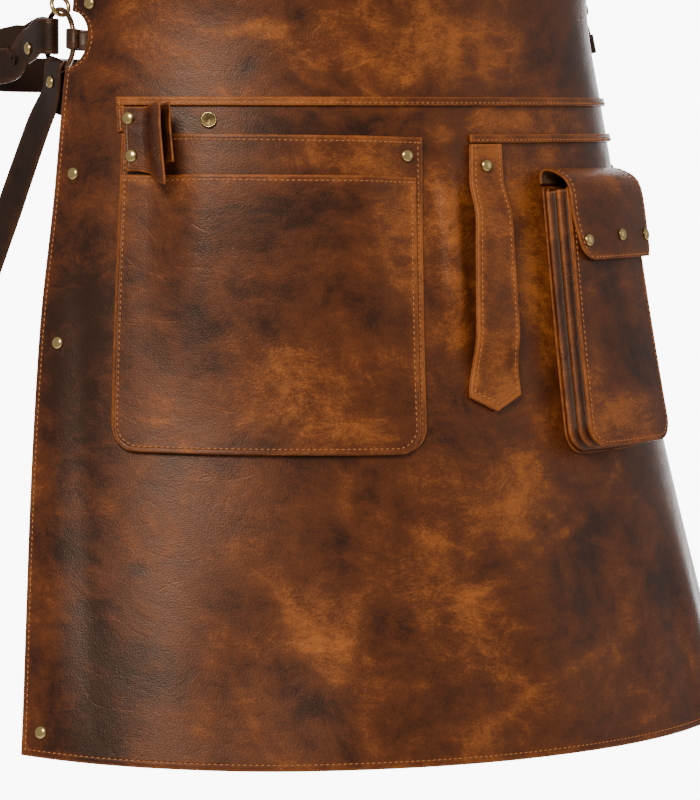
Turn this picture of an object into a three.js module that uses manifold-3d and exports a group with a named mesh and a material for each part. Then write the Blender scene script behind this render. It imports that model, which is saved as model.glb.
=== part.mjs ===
// Leather blacksmith apron, as it hangs on the wearer: a bib and skirt cut in one panel, wrapped round the
// front of the body, with patch pockets, a tool loop, a bellows pocket, side rings, a waist belt and
// cross-back shoulder straps.
// Millimetres, +Z up. The wearer faces -Y. The origin is the top of the shoulders, between the two straps.
import * as THREE from "three";
import { mergeVertices } from "three/addons/utils/BufferGeometryUtils.js";
import Module from "manifold-3d";

const wasm = await Module();
wasm.setup();

// Driving dimensions of the panel.
const shoulderToWaist = 460;
const bibHeight = 330;
const skirtLength = 486;
const waistWidth = 576;
const hemWidth = 718;
const bibTopWidth = 270;
const leather = 2.0;
const waistFrontDepth = 96;
const hemFrontDepth = 193;
const bibFrontDepth = 112;
const waistWrapAngle = 72;
const hemWrapAngle = 62;
const bibWrapAngle = 74;
const flatFront = 0.35;
const hemSideRise = 9;

// Clearances between pieces that are sewn or riveted together.
const seamGap = 0.4;
const rivetGap = 0.35;

const degrees = Math.PI / 180;

// Cross sections of the wrapped panel, from the bib's top to the hem. height is measured up from the
// waist line, halfArc from the centre line to the cut edge round the curve, wrap is the angle that the
// edge has turned from the front, and depth is how far the centre line stands before the body's axis.
const sections = [
  { height: bibHeight, halfArc: waistWidth * 0.5, wrap: bibWrapAngle, depth: bibFrontDepth },
  { height: bibHeight * 0.62, halfArc: waistWidth * 0.482, wrap: bibWrapAngle, depth: bibFrontDepth * 0.9 },
  { height: bibHeight * 0.23, halfArc: waistWidth * 0.481, wrap: bibWrapAngle, depth: waistFrontDepth * 0.93 },
  { height: 0, halfArc: waistWidth * 0.5, wrap: waistWrapAngle, depth: waistFrontDepth },
  { height: -skirtLength / 2, halfArc: (waistWidth + hemWidth) * 0.25, wrap: (waistWrapAngle + hemWrapAngle) / 2,
    depth: (waistFrontDepth + hemFrontDepth) * 0.467 },
  { height: -skirtLength, halfArc: hemWidth * 0.5, wrap: hemWrapAngle, depth: hemFrontDepth },
];

// Smooth value of one column of a table between its rows: a cubic whose slope at a row is that of the
// line through the rows on either side.
function smooth(rows, key, column, at) {
  const last = rows.length - 1;
  const falling = rows[0][key] > rows[last][key];
  let i = 0;
  while (i < last - 1 && (falling ? at < rows[i + 1][key] : at > rows[i + 1][key])) {
    i += 1;
  }
  const slope = (j) => {
    const before = rows[Math.max(j - 1, 0)];
    const after = rows[Math.min(j + 1, last)];
    return (after[column] - before[column]) / (after[key] - before[key]);
  };
  const span = rows[i + 1][key] - rows[i][key];
  const t = (at - rows[i][key]) / span;
  if (t < 0 || t > 1) {
    const end = t < 0 ? i : i + 1;
    return rows[end][column] + slope(end) * (at - rows[end][key]);
  }
  const t2 = t * t;
  const t3 = t2 * t;
  return (2 * t3 - 3 * t2 + 1) * rows[i][column] + (t3 - 2 * t2 + t) * span * slope(i)
    + (3 * t2 - 2 * t3) * rows[i + 1][column] + (t3 - t2) * span * slope(i + 1);
}

// A soft step from 0 to 1 between two values.
function ease(from, to, at) {
  const t = Math.min(Math.max((at - from) / (to - from), 0), 1);
  return t * t * (3 - 2 * t);
}

// The leather's own soft ridges and hollows, which stand off the plain wrapped form. across is measured
// along the curve from the centre line, + to the wearer's left; from, to and fade are shares of the skirt's
// length, measured down from the waist line.
const ridges = [
  { across: 15, lean: 2, width: 15, height: 5.5, from: 0.041, to: 0.391, fade: 0.123 },
  { across: -300, lean: -30, width: 34, height: 4, from: 0.123, to: 1.07, fade: 0.247 },
  { across: 60, lean: 40, width: 70, height: 5, from: 0.597, to: 1.152, fade: 0.247 },
  { across: -150, lean: -30, width: 80, height: -5, from: 0.617, to: 1.152, fade: 0.267 },
  { across: 250, lean: 20, width: 40, height: 4, from: 0.617, to: 1.152, fade: 0.247 },
];

function relief(across, drop) {
  let sum = 0;
  const share = drop / skirtLength;
  for (const ridge of ridges) {
    const middle = ridge.across + ridge.lean * ((share - ridge.from) / (ridge.to - ridge.from));
    const away = (across - middle) / ridge.width;
    const start = ease(ridge.from, ridge.from + ridge.fade, share);
    const length = start * (1 - ease(ridge.to - ridge.fade, ridge.to, share));
    if (Math.abs(away) < 1 && length > 0) {
      sum += ridge.height * length * (1 - away * away) ** 2;
    }
  }
  return sum;
}

// A point of the wrapped form, by its distance round the curve and its drop below the waist line.
function formPoint(across, drop) {
  const height = -drop;
  const halfArc = smooth(sections, "height", "halfArc", height);
  const wrap = smooth(sections, "height", "wrap", height) * degrees;
  const depth = smooth(sections, "height", "depth", height);
  const turn = (s) => {
    const share = s / halfArc;
    return wrap * ((1 - flatFront) * share + flatFront * share ** 3);
  };
  const steps = 12;
  let x = 0;
  let y = 0;
  for (let i = 0; i <= steps; i += 1) {
    const weight = i === 0 || i === steps ? 1 : i % 2 ? 4 : 2;
    const angle = turn((across * i) / steps);
    x += weight * Math.cos(angle);
    y += weight * Math.sin(angle);
  }
  const rise = (hemSideRise * ease(0, skirtLength, drop) * across * across) / (hemWidth * hemWidth * 0.25);
  return new THREE.Vector3((x * across) / steps / 3, (y * across) / steps / 3 - depth, -shoulderToWaist - drop + rise);
}

// The outward direction of the wrapped form.
function formNormal(across, drop) {
  const reach = 2;
  const sideways = formPoint(across + reach, drop).sub(formPoint(across - reach, drop));
  const downwards = formPoint(across, drop + reach).sub(formPoint(across, drop - reach));
  return downwards.cross(sideways).normalize();
}

// A point that stands off the wrapped form by a height along its outward direction.
function onForm(across, drop, stand) {
  return formPoint(across, drop).addScaledVector(formNormal(across, drop), stand);
}

// A closed solid from two matching grids of points, the inner and the outer face of a leather piece.
// point(i, j, side) gives the corner in row i and column j, with side 0 for inside and 1 for outside.
function gridSolid(rows, columns, point, loop = false) {
  const positions = [];
  const faces = [];
  const index = (i, j, side) => (side * rows + i) * columns + (j % columns);
  for (let side = 0; side < 2; side += 1) {
    for (let i = 0; i < rows; i += 1) {
      for (let j = 0; j < columns; j += 1) {
        const p = point(i, j, side);
        positions.push(p.x, p.y, p.z);
      }
    }
  }
  const quad = (a, b, c, d) => faces.push(a, b, c, a, c, d);
  const lastColumn = loop ? columns : columns - 1;
  for (let i = 0; i < rows - 1; i += 1) {
    for (let j = 0; j < lastColumn; j += 1) {
      quad(index(i, j, 1), index(i + 1, j, 1), index(i + 1, j + 1, 1), index(i, j + 1, 1));
      quad(index(i, j, 0), index(i, j + 1, 0), index(i + 1, j + 1, 0), index(i + 1, j, 0));
    }
  }
  for (let j = 0; j < lastColumn; j += 1) {
    quad(index(0, j, 0), index(0, j, 1), index(0, j + 1, 1), index(0, j + 1, 0));
    quad(index(rows - 1, j, 1), index(rows - 1, j, 0), index(rows - 1, j + 1, 0), index(rows - 1, j + 1, 1));
  }
  if (!loop) {
    const right = columns - 1;
    for (let i = 0; i < rows - 1; i += 1) {
      quad(index(i, 0, 0), index(i + 1, 0, 0), index(i + 1, 0, 1), index(i, 0, 1));
      quad(index(i, right, 1), index(i + 1, right, 1), index(i + 1, right, 0), index(i, right, 0));
    }
  }
  const geometry = new THREE.BufferGeometry();
  geometry.setAttribute("position", new THREE.Float32BufferAttribute(positions, 3));
  geometry.setIndex(faces);
  return geometry;
}

function spread(from, to, count) {
  return Array.from({ length: count + 1 }, (_, i) => from + ((to - from) * i) / count);
}

// Joins and cuts.
function toSolid(geometry) {
  const bare = new THREE.BufferGeometry();
  bare.setAttribute("position", geometry.getAttribute("position").clone());
  if (geometry.index) {
    bare.setIndex(geometry.index.clone());
  }
  const merged = mergeVertices(bare, 1e-4);
  const vertProperties = new Float32Array(merged.attributes.position.array);
  const triVerts = new Uint32Array(merged.index.array);
  return new wasm.Manifold(new wasm.Mesh({ numProp: 3, vertProperties, triVerts }));
}

function toGeometry(solid) {
  const mesh = solid.getMesh();
  const geometry = new THREE.BufferGeometry();
  geometry.setAttribute("position", new THREE.BufferAttribute(new Float32Array(mesh.vertProperties), 3));
  geometry.setIndex(new THREE.BufferAttribute(new Uint32Array(mesh.triVerts), 1));
  return geometry;
}

// Materials.
const finishes = {
  leather: { color: 0x6b3416, roughness: 0.5, metalness: 0 },
  darkLeather: { color: 0x3a1c10, roughness: 0.55, metalness: 0 },
  brass: { color: 0xc9a455, roughness: 0.3, metalness: 1 },
  bronze: { color: 0x4a3423, roughness: 0.4, metalness: 1 },
};

const apron = new THREE.Group();
apron.name = "blacksmith_apron";

function addPiece(name, geometry, finish) {
  const material = new THREE.MeshStandardMaterial(finishes[finish]);
  const mesh = new THREE.Mesh(geometry, material);
  mesh.name = name;
  apron.add(mesh);
  return mesh;
}

// Turns a mesh so that its own +Z points outward from the wrapped form, at a stand-off from it.
function seatOnForm(mesh, across, drop, stand) {
  mesh.position.copy(onForm(across, drop, stand));
  mesh.quaternion.setFromUnitVectors(new THREE.Vector3(0, 0, 1), formNormal(across, drop));
}

// Body panel. The skirt and the waist have the full width of the section, and above the straps' rings the
// edges curve in as armholes to the bib's top. edge is the half width as a share of the section's.
const armhole = [
  { height: bibHeight, edge: bibTopWidth / 2 },
  { height: bibHeight * 0.8, edge: bibTopWidth * 0.56 },
  { height: bibHeight * 0.58, edge: bibTopWidth * 0.69 },
  { height: bibHeight * 0.4, edge: bibTopWidth * 0.88 },
  { height: bibHeight * 0.27, edge: smooth(sections, "height", "halfArc", bibHeight * 0.27) },
];
const armholeStart = armhole[armhole.length - 1].height;

function halfWidth(drop) {
  const full = smooth(sections, "height", "halfArc", -drop);
  return -drop > armholeStart ? smooth(armhole, "height", "edge", -drop) : full;
}

const panelRows = [
  ...spread(-bibHeight, -armholeStart, 6),
  ...spread(-armholeStart, 0, 4).slice(1),
  ...spread(0, skirtLength, 12).slice(1),
];
const panelColumns = 32;

function panelGeometry() {
  const place = (i, j, side) => {
    const drop = panelRows[i];
    const across = halfWidth(drop) * ((2 * j) / panelColumns - 1);
    return onForm(across, drop, relief(across, drop) - leather * (1 - side));
  };
  return gridSolid(panelRows.length, panelColumns + 1, place);
}

// Side rings: a notch in the panel's edge, and a tab that holds the ring in it.
const notchDrop = -45;
const notchHeight = 42;
const notchDepth = 19;
const ringWire = 4;
const ringOuter = 50;
const ringRadius = (ringOuter - ringWire) / 2;

function notchCutter(sideSign) {
  const cutter = new THREE.CylinderGeometry(1, 1, 24, 20);
  cutter.rotateX(Math.PI / 2);
  cutter.scale(notchDepth, notchHeight / 2, 1);
  const mesh = new THREE.Mesh(cutter);
  const across = sideSign * halfWidth(notchDrop);
  const outward = formNormal(across, notchDrop);
  const up = new THREE.Vector3(0, 0, 1);
  const sideways = new THREE.Vector3().crossVectors(up, outward).normalize();
  const along = new THREE.Vector3().crossVectors(outward, sideways);
  mesh.matrix.makeBasis(sideways, along, outward);
  mesh.matrix.setPosition(onForm(across, notchDrop, 0));
  cutter.applyMatrix4(mesh.matrix);
  return cutter;
}

let panel = toSolid(panelGeometry());
for (const sideSign of [-1, 1]) {
  panel = panel.subtract(toSolid(notchCutter(sideSign)));
}
addPiece("body_panel", toGeometry(panel), "leather");

// Patches of leather that follow the form. left and right give a patch's edges at a drop, stand gives the
// height of its inner face, and slant lowers its wearer's-left side.
function patchGeometry({ rows, columns, left, right, stand, thickness, slant = () => 0 }) {
  const place = (i, j, side) => {
    const share = j / columns;
    const across = left(rows[i]) + (right(rows[i]) - left(rows[i])) * share;
    const drop = rows[i] + slant(share, rows[i]);
    return onForm(across, drop, stand(across, drop) + side * thickness);
  };
  return gridSolid(rows.length, columns + 1, place);
}

// Rows of a patch with rounded bottom corners, and how far each row is drawn in by them.
function roundedRows(top, bottom, radius, count) {
  const corner = [25, 45, 65, 90].map((angle) => bottom - radius + radius * Math.sin(angle * degrees));
  return [...spread(top, bottom - radius, count), ...corner];
}

function cornerInset(drop, bottom, radius) {
  const into = Math.min(Math.max(drop - (bottom - radius), 0), radius);
  return radius - Math.sqrt(radius * radius - into * into);
}

// Welts: folded strips sewn along the waist, down the left of the pockets, and along the hip.
const weltWidth = 6.5;
const weltThickness = 2.6;
const waistWeltLeft = -236.5;
const waistWeltRight = waistWidth / 2 - 18;
const waistWeltTop = -2;
const rearPocketTop = 25;
const hipWeltLeft = 38;
const hipWeltTop = 26;

function weltGeometry(left, right, top, bottom, columns) {
  const rows = [top, bottom];
  return patchGeometry({
    rows,
    columns,
    left: () => left,
    right: () => right,
    stand: () => seamGap,
    thickness: weltThickness,
  });
}

const waistWelt = toSolid(weltGeometry(waistWeltLeft, waistWeltRight, waistWeltTop, waistWeltTop + weltWidth, 34));
const waistWeltLeg = toSolid(weltGeometry(waistWeltLeft, waistWeltLeft + weltWidth, waistWeltTop, rearPocketTop - 1, 1));
addPiece("waist_welt", toGeometry(waistWelt.add(waistWeltLeg)), "leather");
const hipWelt = weltGeometry(hipWeltLeft, waistWeltRight - 4, hipWeltTop, hipWeltTop + weltWidth, 18);
addPiece("hip_welt", hipWelt, "leather");

// Patch pockets: the rear one is sewn to the panel, and the front one over it. Both stand a little full at
// the mouth and lie flat at the seams.
const pocketLeather = 1.8;
const pocketFullness = 5.4;
const pocketBottom = 260;
const pocketCorner = 18;
const frontPocketTop = 56;
const pocketLeft = { top: -235.5, lean: -0.112 };
const frontPocketRight = { top: -12.8, lean: -0.066 };
const rearPocketRight = { top: -4, lean: -0.072 };

function leaning(edge, top) {
  return (drop) => edge.top + edge.lean * (drop - top);
}

function fullness(across, drop, left, right, top, bottom) {
  const share = (across - left) / (right - left);
  const sides = ease(0.09, 0.3, share) * (1 - ease(0.76, 1, share));
  return pocketFullness * sides * (1 - ease(top + 20, bottom - 10, drop));
}

const rearBottom = pocketBottom - 3;
const rearLeft = leaning({ top: pocketLeft.top + 2, lean: pocketLeft.lean }, rearPocketTop);
const rearRight = leaning(rearPocketRight, rearPocketTop);

function rearStand(across, drop) {
  return seamGap + fullness(across, drop, rearLeft(drop), rearRight(drop), rearPocketTop, rearBottom);
}

const rearPocket = patchGeometry({
  rows: roundedRows(rearPocketTop, rearBottom, pocketCorner, 6),
  columns: 15,
  left: (drop) => rearLeft(drop) + cornerInset(drop, rearBottom, pocketCorner),
  right: (drop) => rearRight(drop) - cornerInset(drop, rearBottom, pocketCorner),
  stand: rearStand,
  thickness: pocketLeather,
  slant: (share) => 3 * share,
});
addPiece("rear_pocket", rearPocket, "leather");

const frontLeft = leaning(pocketLeft, frontPocketTop);
const frontRight = leaning(frontPocketRight, frontPocketTop);

function frontStand(across, drop) {
  const own = fullness(across, drop, frontLeft(drop), frontRight(drop), frontPocketTop, pocketBottom);
  return rearStand(across, drop) + pocketLeather + seamGap + own;
}

const frontPocket = patchGeometry({
  rows: roundedRows(frontPocketTop, pocketBottom, pocketCorner, 6),
  columns: 15,
  left: (drop) => frontLeft(drop) + cornerInset(drop, pocketBottom, pocketCorner),
  right: (drop) => frontRight(drop) - cornerInset(drop, pocketBottom, pocketCorner),
  stand: frontStand,
  thickness: pocketLeather,
  slant: (share) => 2 * share,
});
addPiece("front_pocket", frontPocket, "leather");

// A strip's centre line in two measures, thickened to both sides.
function bent(path, thickness) {
  return path.map((point, i) => {
    const before = path[Math.max(i - 1, 0)];
    const after = path[Math.min(i + 1, path.length - 1)];
    const length = Math.hypot(after[0] - before[0], after[1] - before[1]);
    const normal = [-(after[1] - before[1]) / length, (after[0] - before[0]) / length];
    return [0, 1].map((side) => point.map((value, k) => value + normal[k] * thickness * (side - 0.5)));
  });
}

// Snap tabs: two closure straps at the left of the pocket mouths. Each is riveted flat at its root and its
// free end stands out, unfastened. Columns are across, stand above the root's seat, and how far the lower
// edge has dropped.
const tabLeather = 1.6;
const tabRootLeft = -230;
const tabRootTop = waistWeltTop + weltWidth + 1;
const tabRootBottom = frontPocketTop - 2;
const tabSeat = 3.2;
const backTabBottom = 48;
const tabBend = [
  { out: 0, stand: 0, lower: 0 },
  { out: 9, stand: 0, lower: 0 },
  { out: 16, stand: 0.2, lower: 1 },
  { out: 20, stand: 3, lower: 3 },
  { out: 24, stand: 10, lower: 7 },
  { out: 28, stand: 19, lower: 11 },
  { out: 34, stand: 28, lower: 14 },
];

// Height of the tabs' seat: on the panel at the top, over the rear pocket's edge below.
function tabSeatStand(drop) {
  return seamGap + tabSeat * ease(rearPocketTop - 14, rearPocketTop - 1, drop);
}

function tabGeometry(shift, lift, stretch, bottom) {
  const path = tabBend.map((row) => [tabRootLeft + row.out + (row.stand > 0 ? shift : 0), row.stand * stretch]);
  const faces = bent(path, tabLeather);
  const rows = spread(0, 1, 6);
  const place = (i, j, side) => {
    const lower = bottom + tabBend[j].lower * (bottom > backTabBottom ? 1 : 0.2);
    const drop = tabRootTop + (lower - tabRootTop) * rows[i];
    const [across, stand] = faces[j][side];
    const seat = tabSeatStand(drop) + fullness(across, Math.max(drop, rearPocketTop), rearLeft(drop), rearRight(drop),
      rearPocketTop, rearBottom) * ease(rearPocketTop - 14, rearPocketTop - 1, drop);
    return onForm(across, drop, seat + lift + tabLeather / 2 + stand);
  };
  return gridSolid(rows.length, path.length, place);
}

addPiece("snap_tab_backing", tabGeometry(6, 0, 0.92, backTabBottom), "leather");
addPiece("snap_tab", tabGeometry(0, tabLeather + seamGap, 1, tabRootBottom), "leather");

// Tool loop: two layers sewn together, hung from the hip welt, standing off the panel at the middle.
const loopThickness = 4.4;
const loopStandOff = 8.2;
const loopTop = hipWeltTop + weltWidth + 1;
const loopBottom = 222;
const loopChevron = 11;
const loopLeft = { top: 37, lean: -0.085 };
const loopRight = { top: 66, lean: -0.02 };

const toolLoop = patchGeometry({
  rows: [...spread(loopTop, loopBottom - 28, 11), ...spread(loopBottom - 28, loopBottom, 4).slice(1)],
  columns: 4,
  left: (drop) => loopLeft.top + loopLeft.lean * (drop - loopTop) - 2 * ease(loopBottom - 26, loopBottom - 4, drop),
  right: (drop) => loopRight.top + loopRight.lean * (drop - loopTop) + 3 * ease(loopBottom - 40, loopBottom - 4, drop),
  stand: (across, drop) => seamGap + 0.2 + loopStandOff * ease(loopTop + 25, loopTop + 58, drop)
    * (1 - ease(loopBottom - 50, loopBottom - 12, drop)),
  thickness: loopThickness,
  slant: (share, drop) => loopChevron * (1 - Math.abs(2 * share - 1)) * ease(loopBottom - 28, loopBottom, drop),
});
addPiece("tool_loop", toolLoop, "leather");

// Cargo pocket: a back sewn to the panel, a bellows gusset round three sides, a front, and a flap over it.
const cargoLeather = 1.8;
const cargoDepth = 27;
const cargoTop = 66;
const cargoBottom = 268;
const cargoLeft = 110;
const cargoRight = { top: 196, lean: 0.085 };
const cargoCorner = 17;
const gussetLeather = 1.5;
const gussetPleat = 4.5;
const frontTop = 78;

const cargoRightEdge = leaning(cargoRight, cargoTop);

function cargoPatch(inset, top, stand) {
  return patchGeometry({
    rows: roundedRows(top, cargoBottom - inset, cargoCorner, 5),
    columns: 7,
    left: (drop) => cargoLeft + inset + cornerInset(drop, cargoBottom - inset, cargoCorner),
    right: (drop) => cargoRightEdge(drop) - inset - cornerInset(drop, cargoBottom - inset, cargoCorner),
    stand,
    thickness: cargoLeather,
  });
}

const cargoBackTop = seamGap + cargoLeather;
addPiece("cargo_back", cargoPatch(-1, cargoTop, () => seamGap), "leather");
const cargoFrontStand = cargoDepth - cargoLeather;
addPiece("cargo_front", cargoPatch(0, frontTop, () => cargoFrontStand), "leather");

// The gusset's fold, from the back to the front: how far in from the outline, and its height as a share
// of the space between.
const gussetFold = [
  { inset: 9, rise: 0 },
  { inset: 1.5, rise: 0 },
  { inset: 1.5 + gussetPleat, rise: 0.27 },
  { inset: 1.5, rise: 0.52 },
  { inset: 1.5 + gussetPleat, rise: 0.77 },
  { inset: 1.5, rise: 1 },
  { inset: 9, rise: 1 },
];

// A point of the pocket's U outline, drawn in by an inset: down the wearer's right side, along the bottom
// and up the other side.
function cargoOutline(share, inset) {
  const radius = cargoCorner - inset * 0.5;
  const left = cargoLeft + inset;
  const bottom = cargoBottom - inset;
  const top = cargoTop + 4;
  const straight = 0.34;
  const turn = 0.08;
  const along = (from) => (share - from) / straight;
  if (share <= straight) {
    return [left, top + (bottom - radius - top) * along(0)];
  }
  if (share <= straight + turn) {
    const angle = ((share - straight) / turn) * 90 * degrees;
    return [left + radius * (1 - Math.cos(angle)), bottom - radius * (1 - Math.sin(angle))];
  }
  const right = cargoRightEdge(bottom) - inset;
  const level = 1 - 2 * (straight + turn);
  if (share <= straight + turn + level) {
    return [left + radius + ((right - left - 2 * radius) * (share - straight - turn)) / level, bottom];
  }
  if (share <= straight + 2 * turn + level) {
    const angle = ((share - straight - turn - level) / turn) * 90 * degrees;
    return [right - radius * (1 - Math.sin(angle)), bottom - radius * (1 - Math.cos(angle))];
  }
  const drop = bottom - radius - (bottom - radius - top) * along(straight + 2 * turn + level);
  return [cargoRightEdge(drop) - inset, drop];
}

const gussetShares = [
  ...spread(0, 0.34, 5), ...spread(0.34, 0.42, 3).slice(1), ...spread(0.42, 0.58, 3).slice(1),
  ...spread(0.58, 0.66, 3).slice(1), ...spread(0.66, 1, 5).slice(1),
];
const gussetLow = cargoBackTop + seamGap + gussetLeather / 2;
const gussetHigh = cargoFrontStand - seamGap - gussetLeather / 2;
const gussetPath = gussetFold.map((row) => [row.inset, gussetLow + (gussetHigh - gussetLow) * row.rise]);
const gussetFaces = bent(gussetPath, gussetLeather);
const gusset = gridSolid(gussetShares.length, gussetPath.length, (i, j, side) => {
  const [inset, stand] = gussetFaces[j][side];
  const [across, drop] = cargoOutline(gussetShares[i], inset);
  return onForm(across, drop, stand);
});
addPiece("cargo_gusset", gusset, "leather");

// The flap is sewn to the panel above the pocket, bends out over its mouth and hangs down the front.
const flapLeather = 2;
const flapLength = 126;
const flapTop = cargoTop - 11.5;
const flapOut = cargoDepth + seamGap + flapLeather / 2 + 2.4;
const flapBend = [
  { drop: cargoTop - 2, stand: seamGap + 1.2 },
  { drop: flapTop + 4, stand: seamGap + 1.2 },
  { drop: flapTop, stand: flapOut * 0.13 },
  { drop: flapTop, stand: flapOut * 0.33 },
  { drop: flapTop + 3.5, stand: flapOut * 0.6 },
  { drop: flapTop + 9, stand: flapOut * 0.84 },
  { drop: flapTop + 16, stand: flapOut * 0.96 },
  { drop: flapTop + 26, stand: flapOut },
  { drop: flapTop + 44, stand: flapOut },
  { drop: flapLength - 12, stand: flapOut },
  { drop: flapLength - 3, stand: flapOut - 0.2 },
  { drop: flapLength, stand: flapOut - 0.4 },
];
const flapCorner = 14;
const flapFaces = bent(flapBend.map((row) => [row.drop, row.stand]), flapLeather);
const flapColumns = 8;
const flapOverhang = { left: 3, right: 9 };
const flapTaper = 8;
const flap = gridSolid(flapBend.length, flapColumns + 1, (i, j, side) => {
  const [drop, stand] = flapFaces[i][side];
  const inset = cornerInset(flapBend[i].drop, flapLength, flapCorner) + flapTaper * ease(flapTop + 30, flapLength, drop);
  const left = cargoLeft - flapOverhang.left + inset;
  const right = cargoRightEdge(drop) + flapOverhang.right - inset * 0.25;
  return onForm(left + ((right - left) * j) / flapColumns, drop, stand);
});
addPiece("cargo_flap", flap, "leather");

// Rivets and snaps: a domed cap whose flat side lies on the leather. Ring snaps have a raised rim.
const rivetCap = 9.6;
const studCap = 12;

function capGeometry(diameter, height) {
  const r = diameter / 2;
  const profile = [[0, 0], [r, 0], [r * 0.94, height * 0.45], [r * 0.6, height * 0.88], [0, height]];
  const lathe = new THREE.LatheGeometry(profile.map(([x, y]) => new THREE.Vector2(x, y)), 8);
  lathe.rotateX(Math.PI / 2);
  return lathe;
}

function studGeometry(diameter) {
  const r = diameter / 2;
  const profile = [[0, 0], [r, 0], [r, 1.4], [r * 0.84, 2.0], [r * 0.76, 1.3], [0, 1.3]];
  const lathe = new THREE.LatheGeometry(profile.map(([x, y]) => new THREE.Vector2(x, y)), 14);
  lathe.rotateX(Math.PI / 2);
  return lathe;
}

const tabTopStand = (drop) => tabSeatStand(drop) + 2 * tabLeather + seamGap;
const rivets = [
  { name: "snap_tab_rivet_upper", across: -226, drop: 14.5, stand: tabTopStand(18) },
  { name: "snap_tab_rivet_lower", across: -225, drop: 42.5, stand: tabTopStand(42.5) },
  { name: "pocket_rivet", across: -19, drop: 42, stand: rearStand(-24, 42) + pocketLeather, size: 10.4 },
  { name: "tool_loop_rivet", across: 49, drop: 50, stand: seamGap + 0.7 + loopThickness },
  { name: "flap_snap_1", across: 122, drop: 111, stand: flapOut + flapLeather / 2 },
  { name: "flap_snap_2", across: 163, drop: 108, stand: flapOut + flapLeather / 2 },
  { name: "flap_snap_3", across: 201, drop: 109, stand: flapOut + flapLeather / 2 },
];
const edgeRivetInset = 18;
const edgeRivetDrops = [-72, 55, 182, skirtLength - 18];
for (const [side, sideSign] of [["left", -1], ["right", 1]]) {
  edgeRivetDrops.forEach((drop, i) => {
    const across = sideSign * (halfWidth(drop) - edgeRivetInset);
    rivets.push({ name: `edge_rivet_${side}_${i + 1}`, across, drop, stand: relief(across, drop) });
  });
}
for (const rivet of rivets) {
  const mesh = addPiece(rivet.name, capGeometry(rivet.size ?? rivetCap, 2.4), "brass");
  seatOnForm(mesh, rivet.across, rivet.drop, rivet.stand + rivetGap);
}
const stud = addPiece("snap_stud", studGeometry(studCap), "brass");
seatOnForm(stud, -167, 15, rivetGap);

// Rings hang in the notches, turned to face sideways.
const ringSetBack = 14.8;
const ringTurn = 88;
const sideFrames = [-1, 1].map((sideSign) => {
  const edge = sideSign * halfWidth(notchDrop);
  const back = new THREE.Vector3(sideSign * Math.cos(ringTurn * degrees), Math.sin(ringTurn * degrees), 0);
  const outward = new THREE.Vector3(sideSign * Math.sin(ringTurn * degrees), -Math.cos(ringTurn * degrees), 0);
  const centre = onForm(edge, notchDrop, 0).addScaledVector(back, ringSetBack);
  return { sideSign, side: sideSign < 0 ? "left" : "right", edge, back, outward, centre };
});

for (const frame of sideFrames) {
  const ring = addPiece(`side_ring_${frame.side}`, new THREE.TorusGeometry(ringRadius, ringWire / 2, 6, 26), "bronze");
  ring.position.copy(frame.centre);
  ring.quaternion.setFromUnitVectors(new THREE.Vector3(0, 0, 1), frame.outward);
}

// Ring tabs: a strap folded round the ring's front and sewn to the panel's inner face. The fold is longer
// than the wire is thick, because the wire curves inside it.
const ringTabHeight = 15;
const ringTabLeather = 1.6;
const ringTabReach = 38;
const wireSlack = 2.1;
for (const frame of sideFrames) {
  const edgePoint = onForm(frame.edge, notchDrop, 0);
  const normal = formNormal(frame.edge, notchDrop);
  const inward = onForm(frame.edge - frame.sideSign, notchDrop, 0).sub(edgePoint).normalize();
  const wire = frame.centre.clone().addScaledVector(frame.back, -ringRadius).sub(edgePoint);
  const edgeBend = 1 / 130;
  const wireIn = wire.dot(inward);
  const wireStand = wire.dot(normal) + (wireIn * wireIn * edgeBend) / 2;
  const wrapRadius = ringWire / 2 + 0.95 + ringTabLeather / 2;
  const inner = -leather - seamGap - ringTabLeather / 2 - 0.2;
  const outer = inner - ringTabLeather - seamGap;
  const wrap = [-30, 0, 40, 90, 140, 180].map((angle) => [
    wireIn + wrapRadius * Math.cos(angle * degrees) - (angle > 90 ? wireSlack : 0),
    wireStand + wrapRadius * Math.sin(angle * degrees),
  ]);
  const path = [
    [ringTabReach, inner], [wireIn + wrapRadius + 5, inner], ...wrap,
    [wireIn - wrapRadius - wireSlack + 0.6, outer + 3], [wireIn + 1, outer], [ringTabReach, outer],
  ];
  const faces = bent(path, ringTabLeather);
  const rows = spread(notchDrop - ringTabHeight / 2, notchDrop + ringTabHeight / 2, 2);
  const tab = gridSolid(rows.length, path.length, (i, j, side) => {
    const [into, stand] = faces[j][frame.sideSign < 0 ? side : 1 - side];
    return onForm(frame.edge - frame.sideSign * into, rows[i], stand);
  });
  addPiece(`ring_tab_${frame.side}`, tab, "darkLeather");
}

// Straps. A strap follows a smooth line; at each point the table gives where its middle runs and which way
// its outer face looks.
const strapLeather = 2.4;
const strapWidth = 27;
const shoulderStrapWidth = 30;

function strapGeometry(points, width, steps, thickness = strapLeather) {
  const line = new THREE.CatmullRomCurve3(points.map((row) => row.at), false, "centripetal");
  const place = [];
  const segments = points.length - 1;
  for (let k = 0; k < segments; k += 1) {
    const parts = Math.max(1, Math.round(points[k].at.distanceTo(points[k + 1].at) / steps));
    for (let n = 0; n < parts; n += 1) {
      place.push((k + n / parts) / segments);
    }
  }
  place.push(1);
  const rows = place.map((t) => {
    const k = Math.min(Math.floor(t * segments + 1e-9), segments - 1);
    const part = t * segments - k;
    const at = line.getPoint(t);
    const heading = line.getTangent(t);
    const look = points[k].look.clone().lerp(points[k + 1].look, part);
    look.addScaledVector(heading, -look.dot(heading)).normalize();
    return { at, look, across: new THREE.Vector3().crossVectors(look, heading).normalize() };
  });
  return gridSolid(rows.length, 2, (i, j, side) => {
    const row = rows[i];
    return row.at.clone().addScaledVector(row.across, width * (j - 0.5))
      .addScaledVector(row.look, thickness * (side - 0.5));
  });
}

function vector(x, y, z) {
  return new THREE.Vector3(x, y, z);
}

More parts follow.
